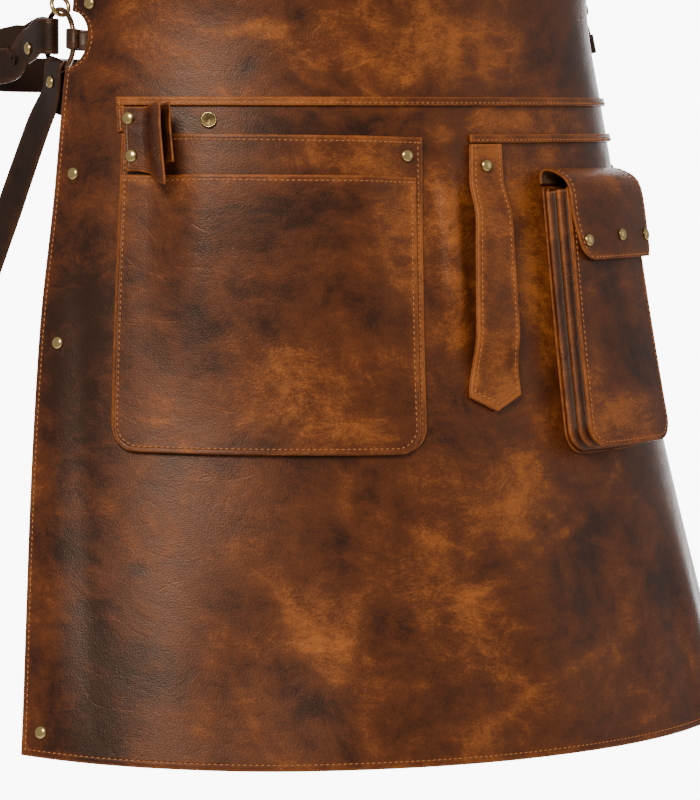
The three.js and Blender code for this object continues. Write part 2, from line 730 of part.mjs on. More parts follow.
// The U of a strap that is folded round a bar: out on one side, round its front and back on the other.
function foldRound(bar, forward, outward, gap, reach) {
  return [
    { at: bar.clone().addScaledVector(outward, gap), look: outward.clone() },
    {
      at: bar.clone().addScaledVector(outward, gap * 0.75).addScaledVector(forward, reach * 0.72),
      look: outward.clone().addScaledVector(forward, 0.9),
    },
    { at: bar.clone().addScaledVector(forward, reach), look: forward.clone() },
    {
      at: bar.clone().addScaledVector(outward, -gap * 0.75).addScaledVector(forward, reach * 0.72),
      look: outward.clone().negate().addScaledVector(forward, 0.9),
    },
    { at: bar.clone().addScaledVector(outward, -gap), look: outward.clone().negate() },
  ];
}

const [leftFrame] = sideFrames;
const ringHalfSpan = Math.abs(leftFrame.centre.x);
const foldGap = ringWire / 2 + 0.8 + strapLeather / 2;
// A point of the way from a ring round behind the wearer. x, back and down are shares of the rings' half
// span, measured from the middle of the body, behind the ring and below it; facing turns the outer face
// from straight sideways (0) to straight back (90). inset moves the point inward through the leather.
function routePoint(sideSign, row, inset = 0) {
  const angle = row.facing * degrees;
  const look = vector(sideSign * Math.cos(angle), Math.sin(angle), 0);
  const at = vector(
    sideSign * row.x * ringHalfSpan,
    leftFrame.centre.y + row.back * ringHalfSpan,
    leftFrame.centre.z - row.down * ringHalfSpan,
  );
  return { at: at.addScaledVector(look, -inset), look };
}

// A point beside the fold at a ring, further along the strap and lower or higher.
function besideFold(fold, along, distance, rise) {
  return { at: fold.at.clone().addScaledVector(along, distance).add(vector(0, 0, rise)), look: fold.look.clone() };
}

// Waist belt: one strap from ring to ring behind the wearer. At each ring its end is folded forward round
// the wire, laid back inside a little higher, and riveted.
const beltRoute = [
  { x: 1.055, back: 0.241, down: 0.07, facing: -6 },
  { x: 1.085, back: 0.368, down: 0.09, facing: 8 },
  { x: 1.02, back: 0.491, down: 0.105, facing: 42 },
  { x: 0.78, back: 0.588, down: 0.11, facing: 66 },
  { x: 0.42, back: 0.632, down: 0.114, facing: 80 },
  { x: 0, back: 0.649, down: 0.114, facing: 90 },
];
const beltReturnRoute = [
  { x: 1.055, back: 0.241, down: 0, facing: -6 },
  { x: 1.085, back: 0.368, down: 0.018, facing: 8 },
  { x: 1.02, back: 0.491, down: 0.035, facing: 42 },
];
const beltReturnInset = 6;
const beltFold = foldGap + 3;
const beltFoldRise = 3;
const beltFoldReach = 12;

function beltEnd(frame) {
  const wire = frame.centre.clone().addScaledVector(frame.back, ringRadius).add(vector(0, 0, beltFoldRise));
  const fold = foldRound(wire, frame.back.clone().negate(), frame.outward, beltFold, beltFoldReach);
  const outside = fold[0];
  const inside = fold[fold.length - 1];
  const outerLeg = [besideFold(outside, frame.back, 26, -10), besideFold(outside, frame.back, 9, -4.5)];
  const innerLeg = [besideFold(inside, frame.back, 9, 1), besideFold(inside, frame.back, 26, 2)];
  const returned = beltReturnRoute.map((row) => {
    const point = routePoint(frame.sideSign, row, beltReturnInset);
    return { at: point.at, look: point.look.negate() };
  });
  return [...outerLeg, ...fold, ...innerLeg, ...returned];
}

const beltPoints = [
  ...beltEnd(sideFrames[0]).reverse(),
  ...beltRoute.map((row) => routePoint(-1, row)),
  ...beltRoute.slice(0, -1).reverse().map((row) => routePoint(1, row)),
  ...beltEnd(sideFrames[1]),
];
addPiece("waist_belt", strapGeometry(beltPoints, strapWidth, 20), "darkLeather");

// Slack straps: a second strap hangs loose from each ring. It is folded round the lower rear of the ring
// and runs down and back from there to a free end.
const slackWidth = 26;
const slackAngle = 10;
const slackFoldReach = 8;
const slackRoute = [
  { x: 1.035, back: 0.1, down: 0.285, facing: -14 },
  { x: 1.088, back: 0.215, down: 0.557, facing: -20 },
  { x: 1.13, back: 0.316, down: 0.79, facing: -16 },
  { x: 1.17, back: 0.45, down: 1.06, facing: -10 },
  { x: 1.2, back: 0.56, down: 1.26, facing: -8 },
];

// The way out from the ring's middle that the slack strap takes.
function slackHeading(frame) {
  const lower = vector(0, 0, -Math.cos(slackAngle * degrees));
  return lower.addScaledVector(frame.back, Math.sin(slackAngle * degrees));
}

function slackEnd(frame) {
  const heading = slackHeading(frame);
  const wire = frame.centre.clone().addScaledVector(heading, ringRadius);
  const fold = foldRound(wire, heading.clone().negate(), frame.outward, foldGap, slackFoldReach);
  const inside = fold[fold.length - 1];
  const outerLeg = besideFold(fold[0], heading, 18, 0);
  return [outerLeg, ...fold, besideFold(inside, heading, 12, 0), besideFold(inside, heading, 34, 0)];
}

for (const frame of sideFrames) {
  const points = [...slackEnd(frame).reverse(), ...slackRoute.map((row) => routePoint(frame.sideSign, row))];
  addPiece(`slack_strap_${frame.side}`, strapGeometry(points, slackWidth, 22), "darkLeather");
}

// The rivets that close the two straps' folds at each ring.
for (const frame of sideFrames) {
  const seats = [
    {
      name: "belt_rivet",
      at: frame.centre.clone().addScaledVector(frame.back, ringRadius + 14).add(vector(0, 0, -6)),
      stand: beltFold,
    },
    {
      name: "slack_rivet",
      at: frame.centre.clone().addScaledVector(slackHeading(frame), ringRadius + 9),
      stand: foldGap,
    },
  ];
  for (const seat of seats) {
    const mesh = addPiece(`${seat.name}_${frame.side}`, capGeometry(rivetCap, 2.4), "brass");
    mesh.position.copy(seat.at).addScaledVector(frame.outward, seat.stand + strapLeather / 2 + rivetGap);
    mesh.quaternion.setFromUnitVectors(vector(0, 0, 1), frame.outward);
  }
}

// Snap hooks: a hook through the top of the ring, a swivel post and an eye for the shoulder strap.
const hookWire = 3.4;
const hookRadius = 7.6;
const hookPost = 14;
const eyeWidth = 36;
const eyeHeight = 12;
const hookLean = vector(0.38, 0.45, 1).normalize();

function barBetween(from, to, radius, sides = 5) {
  const length = from.distanceTo(to);
  const bar = new THREE.CylinderGeometry(radius, radius, length, sides);
  bar.translate(0, length / 2, 0);
  const aim = new THREE.Quaternion().setFromUnitVectors(vector(0, 1, 0), to.clone().sub(from).normalize());
  bar.applyQuaternion(aim);
  bar.translate(from.x, from.y, from.z);
  return bar;
}

const hooks = sideFrames.map((frame) => {
  const up = vector(-frame.sideSign * hookLean.x, hookLean.y, hookLean.z);
  const ringTop = frame.centre.clone().add(vector(0, 0, ringRadius));
  const seat = ringWire / 2 + 0.7 + hookWire / 2;
  const middle = ringTop.clone().addScaledVector(up, hookRadius - seat);
  const across = new THREE.Vector3().crossVectors(up, frame.back).normalize();
  const facing = new THREE.Vector3().crossVectors(across, up).normalize();
  const loop = new THREE.TorusGeometry(hookRadius, hookWire / 2, 6, 14);
  loop.applyQuaternion(new THREE.Quaternion().setFromUnitVectors(vector(0, 0, 1), facing));
  loop.translate(middle.x, middle.y, middle.z);
  const postFoot = middle.clone().addScaledVector(up, hookRadius - 0.5);
  const postHead = postFoot.clone().addScaledVector(up, hookPost);
  const wide = facing.clone();
  const corners = [[-1, 0], [1, 0], [1, 1], [-1, 1]].map(([w, h]) => (
    postHead.clone().addScaledVector(wide, (w * eyeWidth) / 2).addScaledVector(up, h * eyeHeight)));
  let solid = toSolid(loop).add(toSolid(barBetween(postFoot, postHead.clone().addScaledVector(up, 1), 3.6, 8)));
  corners.forEach((corner, k) => {
    const next = corners[(k + 1) % 4];
    const along = next.clone().sub(corner).normalize().multiplyScalar(1.2);
    solid = solid.add(toSolid(barBetween(corner.clone().sub(along), next.clone().add(along), 1.6)));
  });
  addPiece(`snap_hook_${frame.side}`, toGeometry(solid), "brass");
  return { frame, up, across, bar: corners[2].clone().add(corners[3]).multiplyScalar(0.5), wide };
});

// Shoulder straps: riveted to the bib's top corners, over the shoulders, crossed at the back and down to
// the hooks. Columns are shares of the half width and half depth of the wearer's body and of the height
// from shoulder to waist; outside lifts the strap that crosses on top.
const bodyHalfWidth = 170;
const bodyHalfDepth = 118;
const strapRoute = [
  { x: 0.60, y: -0.50, z: -0.06, look: [0.2, -0.75, 0.62] },
  { x: 0.54, y: -0.24, z: -0.012, look: [0.16, -0.35, 0.92] },
  { x: 0.50, y: 0, z: 0, look: [0.1, 0, 1] },
  { x: 0.44, y: 0.34, z: -0.022, look: [0.1, 0.4, 0.9] },
  { x: 0.34, y: 0.78, z: -0.135, look: [0.05, 0.8, 0.45] },
  { x: 0.20, y: 1.0, z: -0.235, look: [0, 1, 0.12] },
  { x: 0, y: 1.06, z: -0.355, look: [0, 1, 0] },
  { x: -0.30, y: 1.05, z: -0.46, look: [-0.1, 1, 0] },
  { x: -0.66, y: 1.0, z: -0.55, look: [-0.35, 1, 0] },
  { x: -1.0, y: 0.9, z: -0.62, look: [-0.75, 0.8, 0.05] },
];
const crossingLift = 3.2;
const bibStrapLap = 44;

for (const hook of hooks) {
  const sign = hook.frame.sideSign;
  const lift = sign < 0 ? crossingLift : 0;
  const cornerAcross = -sign * (bibTopWidth / 2 - 22);
  const bib = [bibStrapLap, bibStrapLap / 2, -4].map((lap) => ({
    at: onForm(cornerAcross, -bibHeight + lap, seamGap + strapLeather / 2 + (lap < 0 ? 0.9 : 0)),
    look: formNormal(cornerAcross, -bibHeight + lap),
  }));
  const over = strapRoute.map((row) => {
    const look = vector(-sign * row.look[0], row.look[1], row.look[2]).normalize();
    const at = vector(-sign * row.x * bodyHalfWidth, row.y * bodyHalfDepth, row.z * shoulderToWaist);
    const shift = strapLeather / 2 + lift * ease(0.2, 0.9, row.y);
    return { at: at.addScaledVector(look, shift), look };
  });
  const outward = hook.across.clone();
  if (outward.x * sign < 0) {
    outward.negate();
  }
  const gap = 1.6 + 0.5 + strapLeather / 2;
  const fold = foldRound(hook.bar, hook.up.clone().negate(), outward, gap, gap);
  const legs = fold.length - 1;
  const outerLeg = [34, 12].map((up) => ({ at: fold[0].at.clone().addScaledVector(hook.up, up), look: outward }));
  const innerLeg = [12, 34].map((up) => ({
    at: fold[legs].at.clone().addScaledVector(hook.up, up),
    look: outward.clone().negate(),
  }));
  const points = [...bib, ...over, ...outerLeg, ...fold, ...innerLeg];
  addPiece(`shoulder_strap_${hook.frame.side}`, strapGeometry(points, shoulderStrapWidth, 22), "darkLeather");
  for (const [k, lap] of [[1, 37], [2, 21]]) {
    const mesh = addPiece(`bib_rivet_${hook.frame.side}_${k}`, capGeometry(rivetCap, 2.4), "brass");
    seatOnForm(mesh, cornerAcross, -bibHeight + lap, seamGap + strapLeather + rivetGap);
  }
}

export default apron;
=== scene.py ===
import bpy
import numpy as np
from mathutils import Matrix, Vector


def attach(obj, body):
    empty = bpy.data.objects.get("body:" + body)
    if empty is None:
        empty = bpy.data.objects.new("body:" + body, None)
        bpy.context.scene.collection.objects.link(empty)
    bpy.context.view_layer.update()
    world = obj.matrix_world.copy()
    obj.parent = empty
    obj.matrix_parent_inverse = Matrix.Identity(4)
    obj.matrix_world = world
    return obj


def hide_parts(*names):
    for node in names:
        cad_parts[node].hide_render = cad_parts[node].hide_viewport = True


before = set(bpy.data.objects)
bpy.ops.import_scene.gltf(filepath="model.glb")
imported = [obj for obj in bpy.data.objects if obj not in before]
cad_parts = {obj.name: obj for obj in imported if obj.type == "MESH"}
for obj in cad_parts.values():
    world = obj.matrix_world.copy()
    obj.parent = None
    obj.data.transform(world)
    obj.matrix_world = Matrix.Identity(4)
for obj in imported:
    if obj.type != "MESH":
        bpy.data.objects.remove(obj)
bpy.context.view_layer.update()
MM = 0.001

# Camera: it stands in front of the apron and 29 degrees round towards its snap tabs, a little below the waist,
# and looks slightly down. The picture is 700 x 800, so the long side is the height.
waist_z = -460.0
view_angle = np.radians(29)
camera_distance = 3200.0
camera_below_waist = 15.0
camera_pitch = np.radians(3.85)
sensor = 36.0
picture_height = 800
focal_pixels = 4160.0
optical_centre_shift = -11 / picture_height
lens = bpy.data.cameras.new("camera")
lens.sensor_width = sensor
lens.lens = focal_pixels / picture_height * sensor
lens.shift_x = optical_centre_shift
lens.clip_end = 20
camera = bpy.data.objects.new("camera", lens)
camera.location = Vector((
    -np.sin(view_angle) * camera_distance,
    -np.cos(view_angle) * camera_distance,
    waist_z - camera_below_waist,
)) * MM
camera.rotation_euler = (np.pi / 2 - camera_pitch, 0, -view_angle)
bpy.context.scene.collection.objects.link(camera)
bpy.context.scene.camera = camera

# Wrapped form: the curve that the leather takes when the apron is put on. Every sewn piece is laid out on it
# by its distance round the curve from the centre line (across) and its drop below the waist line.
bib_height = 330.0
skirt_length = 486.0
waist_width = 576.0
hem_width = 718.0
bib_top_width = 270.0
hem_side_rise = 9.0
chest_depth = 112.0
waist_depth = 96.0
hem_depth = 193.0

# At each level of the form: its drop, half its arc, how far the leather has turned at its edge, and how far
# its front stands before the rings. flat_front is the share of the turn that is kept for the sides.
flat_front = 0.35
section_drops = np.array([
    -bib_height, -bib_height * 0.62, -bib_height * 0.23, 0, skirt_length / 2, skirt_length,
])
section_arcs = np.array([
    waist_width * 0.5, waist_width * 0.482, waist_width * 0.481, waist_width * 0.5,
    (waist_width + hem_width) * 0.25, hem_width * 0.5,
])
section_wraps = np.radians([74, 74, 74, 72, 67, 62])
section_depths = np.array([
    chest_depth, chest_depth * 0.9, waist_depth * 0.93, waist_depth,
    (waist_depth + hem_depth) * 0.467, hem_depth,
])


def smooth(keys, values, at):
    """A smooth curve through values at keys, carried on straight past both ends."""
    at = np.asarray(at, float)
    last = len(keys) - 1
    slopes = np.array([
        (values[min(j + 1, last)] - values[max(j - 1, 0)]) / (keys[min(j + 1, last)] - keys[max(j - 1, 0)])
        for j in range(last + 1)
    ])
    i = np.clip(np.searchsorted(keys, at, side="right") - 1, 0, last - 1)
    span = keys[i + 1] - keys[i]
    t = (at - keys[i]) / span
    t2, t3 = t * t, t * t * t
    curve = ((2 * t3 - 3 * t2 + 1) * values[i] + (t3 - 2 * t2 + t) * span * slopes[i]
             + (3 * t2 - 2 * t3) * values[i + 1] + (t3 - t2) * span * slopes[i + 1])
    below = values[0] + slopes[0] * (at - keys[0])
    above = values[last] + slopes[last] * (at - keys[last])
    return np.where(t < 0, below, np.where(t > 1, above, curve))


def ease(start, end, at):
    """0 before start and 1 after end, with a soft change between them."""
    t = np.clip((np.asarray(at, float) - start) / (end - start), 0, 1)
    return t * t * (3 - 2 * t)


def form_point(across, drop):
    """Points of the form itself. Simpson's rule adds up the turning curve from the centre line."""
    across, drop = np.broadcast_arrays(np.asarray(across, float), np.asarray(drop, float))
    half_arc = smooth(section_drops, section_arcs, drop)
    wrap = smooth(section_drops, section_wraps, drop)
    depth = smooth(section_drops, section_depths, drop)
    steps = 12
    x = np.zeros_like(across)
    y = np.zeros_like(across)
    for i in range(steps + 1):
        weight = 1 if i in (0, steps) else 4 if i % 2 else 2
        share = across * i / steps / half_arc
        angle = wrap * ((1 - flat_front) * share + flat_front * share ** 3)
        x += weight * np.cos(angle)
        y += weight * np.sin(angle)
    rise = hem_side_rise * ease(0, skirt_length, drop) * across ** 2 / (hem_width / 2) ** 2
    return np.stack([x * across / steps / 3, y * across / steps / 3 - depth, waist_z - drop + rise], -1)


def unit(vectors):
    vectors = np.asarray(vectors, float)
    return vectors / np.maximum(np.linalg.norm(vectors, axis=-1, keepdims=True), 1e-9)


def form_normal(across, drop):
    across, drop = np.broadcast_arrays(np.asarray(across, float), np.asarray(drop, float))
    sideways = form_point(across + 2, drop) - form_point(across - 2, drop)
    downwards = form_point(across, drop + 2) - form_point(across, drop - 2)
    return unit(np.cross(downwards, sideways))


def on_form(across, drop, stand):
    """Points that stand off the form, along its outward direction."""
    return form_point(across, drop) + form_normal(across, drop) * np.asarray(stand, float)[..., None]


# Leather: waxed pull-up hide. The wax makes it dark where it lies flat and pale orange where it is rubbed or
# bent, and the grain shows as fine pebbles with long creases. Cut edges and seams are rubbed pale.
def node_group(name, inputs, outputs):
    tree = bpy.data.node_groups.new(name, "ShaderNodeTree")
    for label, kind, value in inputs:
        socket = tree.interface.new_socket(label, in_out="INPUT", socket_type=kind)
        socket.default_value = value
    for label, kind in outputs:
        tree.interface.new_socket(label, in_out="OUTPUT", socket_type=kind)
    return tree, tree.nodes.new("NodeGroupInput"), tree.nodes.new("NodeGroupOutput")


def add_node(tree, kind, links=None, **settings):
    node = tree.nodes.new(kind)
    for key, value in settings.items():
        setattr(node, key, value)
    for key, value in (links or {}).items():
        socket = node.inputs[key]
        if isinstance(value, bpy.types.NodeSocket):
            tree.links.new(value, socket)
        else:
            socket.default_value = value
    return node


def maths(tree, operation, *values, clamp=False):
    node = tree.nodes.new("ShaderNodeMath")
    node.operation = operation
    node.use_clamp = clamp
    for i, value in enumerate(values):
        if isinstance(value, bpy.types.NodeSocket):
            tree.links.new(value, node.inputs[i])
        else:
            node.inputs[i].default_value = value
    return node.outputs[0]


def ramp(tree, value, low, high):
    node = add_node(tree, "ShaderNodeMapRange", {"Value": value, "From Min": low, "From Max": high})
    node.interpolation_type = "SMOOTHSTEP"
    return node.outputs["Result"]


def blend(tree, factor, first, second, mode="MIX"):
    node = tree.nodes.new("ShaderNodeMix")
    node.data_type = "RGBA"
    node.blend_type = mode
    for socket, value in ((node.inputs[0], factor), (node.inputs[6], first), (node.inputs[7], second)):
        if isinstance(value, bpy.types.NodeSocket):
            tree.links.new(value, socket)
        else:
            socket.default_value = value
    return node.outputs[2]


def add_up(tree, *values):
    total = values[0]
    for value in values[1:]:
        total = maths(tree, "ADD", total, value)
    return total


def less(tree, first, second):
    return maths(tree, "SUBTRACT", first, second)


def times(tree, first, second):
    return maths(tree, "MULTIPLY", first, second)


def noise(tree, vector, scale, detail, roughness=0.5):
    links = {"Vector": vector, "Scale": scale, "Detail": detail, "Roughness": roughness}
    return add_node(tree, "ShaderNodeTexNoise", links).outputs[0]


def cracks(tree, vector, scale, width):
    """Lines along the borders of cells, 1 on a border and 0 away from it."""
    cells = add_node(tree, "ShaderNodeTexVoronoi", {"Vector": vector, "Scale": scale},
                     feature="DISTANCE_TO_EDGE", voronoi_dimensions="2D")
    return less(tree, 1.0, ramp(tree, cells.outputs["Distance"], 0.0, width))


def stretched(tree, vector, turn, stretch):
    return add_node(tree, "ShaderNodeMapping",
                    {"Vector": vector, "Rotation": (0, 0, turn), "Scale": (1.0, stretch, 1.0)}).outputs[0]


# The group's coordinates are metres on the flat hide. Height is in metres too.
hide, hide_in, hide_out = node_group(
    "pull_up_hide",
    [
        ("Vector", "NodeSocketVector", (0, 0, 0)),
        ("Dark", "NodeSocketColor", (0.022, 0.0052, 0.0024, 1)),
        ("Body", "NodeSocketColor", (0.100, 0.0225, 0.0050, 1)),
        ("Pale", "NodeSocketColor", (0.37, 0.100, 0.0150, 1)),
        ("Tone", "NodeSocketFloat", 0.5),
        ("Rub", "NodeSocketFloat", 0.0),
    ],
    [("Color", "NodeSocketColor"), ("Roughness", "NodeSocketFloat"), ("Height", "NodeSocketFloat")],
)
flow = hide_in.outputs["Vector"]
charted = hide_in.outputs["Tone"]
rubbing = hide_in.outputs["Rub"]
warp = add_node(hide, "ShaderNodeTexNoise", {"Vector": flow, "Scale": 9.0, "Detail": 3.0}).outputs["Color"]
bent_flow = add_node(hide, "ShaderNodeMix", {0: 0.06, 4: flow, 5: warp}, data_type="VECTOR").outputs[1]
cloud = noise(hide, bent_flow, 11.0, 5.0, 0.62)
mottle = noise(hide, bent_flow, 42.0, 6.0, 0.68)
speckle = noise(hide, flow, 520.0, 3.0, 0.7)
streak_flow = stretched(hide, bent_flow, 0.9, 3.4)
streaks = noise(hide, streak_flow, 17.0, 7.0, 0.72)

# Creases lie where the streaks are strong. Scores are fine scratches in three directions, in the pale parts.
crease_gate = ramp(hide, streaks, 0.5, 0.68)
creases = times(hide, cracks(hide, streak_flow, 24.0, 0.045), crease_gate)
fine_creases = times(hide, cracks(hide, bent_flow, 150.0, 0.09), crease_gate)
scores = None
for turn, scale, stretch in ((0.75, 46.0, 3.2), (-0.6, 60.0, 2.6), (0.2, 95.0, 2.2)):
    score_noise = noise(hide, stretched(hide, bent_flow, turn, stretch), scale, 4.0, 0.6)
    off_line = maths(hide, "ABSOLUTE", less(hide, score_noise, 0.5))
    line = less(hide, 1.0, ramp(hide, off_line, 0.0, 0.016))
    scores = line if scores is None else maths(hide, "MAXIMUM", scores, line)
score_gate = ramp(hide, add_up(hide, cloud, times(hide, charted, 0.35)), 0.56, 0.84)
scores = times(hide, scores, score_gate)
pebble_cells = add_node(hide, "ShaderNodeTexVoronoi", {"Vector": flow, "Scale": 720.0, "Randomness": 0.9},
                        voronoi_dimensions="2D")

# Every noise is about a half on average, which the last line takes off the sum again.
tone = add_up(
    hide, times(hide, cloud, 0.8), times(hide, mottle, 0.76), times(hide, streaks, 0.46),
    times(hide, less(hide, speckle, 0.5), 0.34), times(hide, creases, 0.12), times(hide, scores, 0.17),
    times(hide, fine_creases, 0.05), less(hide, charted, 1.01))
lower = blend(hide, ramp(hide, tone, 0.2, 0.56), hide_in.outputs["Dark"], hide_in.outputs["Body"])
upper = blend(hide, ramp(hide, tone, 0.5, 1.0), lower, hide_in.outputs["Pale"])
hide.links.new(blend(hide, rubbing, upper, hide_in.outputs["Pale"]), hide_out.inputs["Color"])
gloss = add_up(hide, 0.3, times(hide, mottle, 0.22), times(hide, rubbing, 0.12))
hide.links.new(gloss, hide_out.inputs["Roughness"])
grain = add_up(hide, times(hide, pebble_cells.outputs["Distance"], 0.00010), times(hide, mottle, 0.0005))
for lines, depth in ((creases, 0.00016), (fine_creases, 0.00005), (scores, 0.00006)):
    grain = less(hide, grain, times(hide, lines, depth))
hide.links.new(grain, hide_out.inputs["Height"])


def leather_material(name, dark=None, body=None, pale=None, seam=3.2, edge_rub=0.5,
                     suede_dark=(0.07, 0.028, 0.012), suede_pale=(0.15, 0.068, 0.03)):
    """Hide with its own colours, a groove under the seam, rubbed edges and a suede flesh side."""
    material = bpy.data.materials.new(name)
    material.use_nodes = True
    tree = material.node_tree
    tree.nodes.clear()
    flat = add_node(tree, "ShaderNodeUVMap", uv_map="flat").outputs[0]
    charted = add_node(tree, "ShaderNodeAttribute", attribute_name="tone").outputs["Fac"]
    rim = add_node(tree, "ShaderNodeAttribute", attribute_name="rim").outputs["Fac"]
    flesh = add_node(tree, "ShaderNodeAttribute", attribute_name="flesh").outputs["Fac"]
    ragged = noise(tree, flat, 160.0, 4.0)
    rim_worn = add_up(tree, rim, times(tree, less(tree, ragged, 0.5), 0.0018))
    edge = less(tree, 1.0, ramp(tree, rim_worn, 0.0002, 0.0017))
    near = less(tree, 1.0, ramp(tree, rim_worn, 0.0022, 0.0085))
    off_seam = maths(tree, "ABSOLUTE", less(tree, rim, seam * MM))
    groove = less(tree, 1.0, ramp(tree, off_seam, 0.0, 0.0011))
    group = add_node(tree, "ShaderNodeGroup", node_tree=hide)
    tree.links.new(flat, group.inputs["Vector"])
    for label, value in (("Dark", dark), ("Body", body), ("Pale", pale)):
        if value:
            group.inputs[label].default_value = (*value, 1)
    tree.links.new(add_up(tree, charted, times(tree, near, 0.1)), group.inputs["Tone"])
    patchy = times(tree, add_up(tree, 0.35, ramp(tree, ragged, 0.3, 0.7)), edge_rub)
    tree.links.new(add_up(tree, times(tree, edge, patchy), times(tree, groove, 0.1)), group.inputs["Rub"])
    suede = blend(tree, noise(tree, flat, 900.0, 4.0), (*suede_dark, 1), (*suede_pale, 1))
    colour = blend(tree, flesh, group.outputs["Color"], suede)
    roughness = maths(tree, "MAXIMUM", group.outputs["Roughness"], times(tree, flesh, 0.92))
    sunk = less(tree, group.outputs["Height"], times(tree, groove, 0.00028))
    bump = add_node(tree, "ShaderNodeBump", {"Height": sunk, "Strength": 0.9, "Distance": 1.0})
    shader = add_node(tree, "ShaderNodeBsdfPrincipled", {"Base Color": colour, "Roughness": roughness})
    tree.links.new(bump.outputs[0], shader.inputs["Normal"])
    shader.inputs["Specular IOR Level"].default_value = 0.46
    shader.inputs["Specular Tint"].default_value = (1.0, 0.72, 0.53, 1)
    out = add_node(tree, "ShaderNodeOutputMaterial")
    tree.links.new(shader.outputs[0], out.inputs["Surface"])
    return material


leather = leather_material("leather")
panel_hide = leather_material("panel_leather", seam=4.6, edge_rub=0.3)


def link_mesh(name, points, faces, material):
    mesh = bpy.data.meshes.new(name)
    mesh.from_pydata((np.asarray(points) * MM).tolist(), [], faces)
    mesh.materials.append(material)
    mesh.shade_smooth()
    piece = bpy.data.objects.new(name, mesh)
    bpy.context.scene.collection.objects.link(piece)
    return piece


rim_steps = 4
plain_tone = 0.5


def distance_to_rim(cells, rim_line, batch=2000):
    """How far each point of the flat layout lies from the nearest point of its cut edge."""
    nearest = np.empty(len(cells))
    for start in range(0, len(cells), batch):
        gaps = np.linalg.norm(cells[start:start + batch, None, :] - rim_line[None, :, :], axis=-1)
        nearest[start:start + batch] = gaps.min(1)
    return nearest


def leather_piece(name, inner, normals, thickness, flat, tone=plain_tone, material=leather, offset=(0, 0),
                  round_by=0.7):
    """A leather piece from a grid of points on its inner face. Its cut edge is rounded, and it carries its flat
    layout as a UV map, the distance to its edge, a tone and a mark for the flesh side."""
    rows, columns = inner.shape[:2]
    normals = unit(normals)
    ring = (
        [(0, j) for j in range(columns)] + [(i, columns - 1) for i in range(1, rows)]
        + [(rows - 1, j) for j in range(columns - 2, -1, -1)] + [(i, 0) for i in range(rows - 2, 0, -1)]
    )
    ri = np.array([cell[0] for cell in ring])
    rj = np.array([cell[1] for cell in ring])
    rim_points = inner[ri, rj]
    rim_normals = normals[ri, rj]
    tangent = unit(np.roll(rim_points, -1, 0) - np.roll(rim_points, 1, 0))
    away = unit(np.cross(tangent, rim_normals))
    inside = inner[np.clip(ri, 1, rows - 2), np.clip(rj, 1, columns - 2)]
    if np.mean(np.sum(away * (rim_points - inside), -1)) < 0:
        away = -away
    bulge = min(thickness * 0.5, round_by)
    inner = inner.copy()
    inner[ri, rj] -= away * bulge
    outer = inner + normals * thickness
    count = rows * columns
    points = [outer.reshape(-1, 3), inner.reshape(-1, 3)]
    middle = inner[ri, rj] + rim_normals * thickness / 2
    for k in range(1, rim_steps):
        phi = np.pi / 2 - np.pi * k / rim_steps
        points.append(middle + away * bulge * np.cos(phi) + rim_normals * thickness / 2 * np.sin(phi))
    points = np.concatenate(points)
    index = np.arange(count).reshape(rows, columns)
    faces = []
    for i in range(rows - 1):
        for j in range(columns - 1):
            quad = (index[i, j], index[i + 1, j], index[i + 1, j + 1], index[i, j + 1])
            faces.append(quad)
            faces.append(tuple(corner + count for corner in (quad[0], quad[3], quad[2], quad[1])))
    around = len(ring)
    loops = [index[ri, rj]] + [2 * count + k * around + np.arange(around) for k in range(rim_steps - 1)]
    loops.append(index[ri, rj] + count)
    for first, second in zip(loops, loops[1:]):
        for k in range(around):
            m = (k + 1) % around
            faces.append((first[k], first[m], second[m], second[k]))
    centre_i, centre_j = rows // 2, columns // 2
    down = inner[min(centre_i + 1, rows - 1), centre_j] - inner[centre_i - 1, centre_j]
    side = inner[centre_i, min(centre_j + 1, columns - 1)] - inner[centre_i, centre_j - 1]
    order = -1 if np.dot(np.cross(down, side), normals[centre_i, centre_j]) < 0 else 1
    faces = [tuple(int(v) for v in face[::order]) for face in faces]
    piece = link_mesh(name, points, faces, material)
    mesh = piece.data
    flat_ring = flat[ri, rj]
    flat_all = np.concatenate([flat.reshape(-1, 2), flat.reshape(-1, 2)] + [flat_ring] * (rim_steps - 1))
    rim = distance_to_rim(flat.reshape(-1, 2), flat_ring)
    rim_all = np.concatenate([rim, rim, np.zeros(around * (rim_steps - 1))])
    tone_grid = np.broadcast_to(tone, (rows, columns))
    tone_all = np.concatenate([tone_grid.reshape(-1)] * 2 + [tone_grid[ri, rj]] * (rim_steps - 1))
    flesh_all = np.concatenate([np.zeros(count), np.ones(count), np.zeros(around * (rim_steps - 1))])
    layer = mesh.uv_layers.new(name="flat")
    corners = np.empty(len(mesh.loops), int)
    mesh.loops.foreach_get("vertex_index", corners)
    layout = (flat_all[corners] + np.array(offset)) * MM
    layer.data.foreach_set("uv", layout.reshape(-1).astype(np.float32))
    for label, values in (("rim", rim_all * MM), ("tone", tone_all), ("flesh", flesh_all)):
        attribute = mesh.attributes.new(label, "FLOAT", "POINT")
        attribute.data.foreach_set("value", values.astype(np.float32))
    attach(piece, "root")
    return piece


# Stitching: waxed orange thread in a row of short slanted stitches. One Geometry Nodes tree lays them along
# a seam line, a set pitch apart, flat on the leather.
thread = bpy.data.materials.new("waxed_thread")
thread.use_nodes = True
thread_tree = thread.node_tree
thread_shader = thread_tree.nodes["Principled BSDF"]
thread_place = add_node(thread_tree, "ShaderNodeTexCoord").outputs["Object"]
thread_noise = noise(thread_tree, thread_place, 300.0, 2.0)
thread_colour = blend(thread_tree, thread_noise, (0.26, 0.075, 0.015, 1), (0.62, 0.22, 0.052, 1))
thread_tree.links.new(thread_colour, thread_shader.inputs["Base Color"])
thread_shader.inputs["Roughness"].default_value = 0.55

stitch_pitch = 4.3
stitch_length = 3.0
stitch_width = 1.05
stitch_tilt = np.radians(7)
thread_stand = 0.12


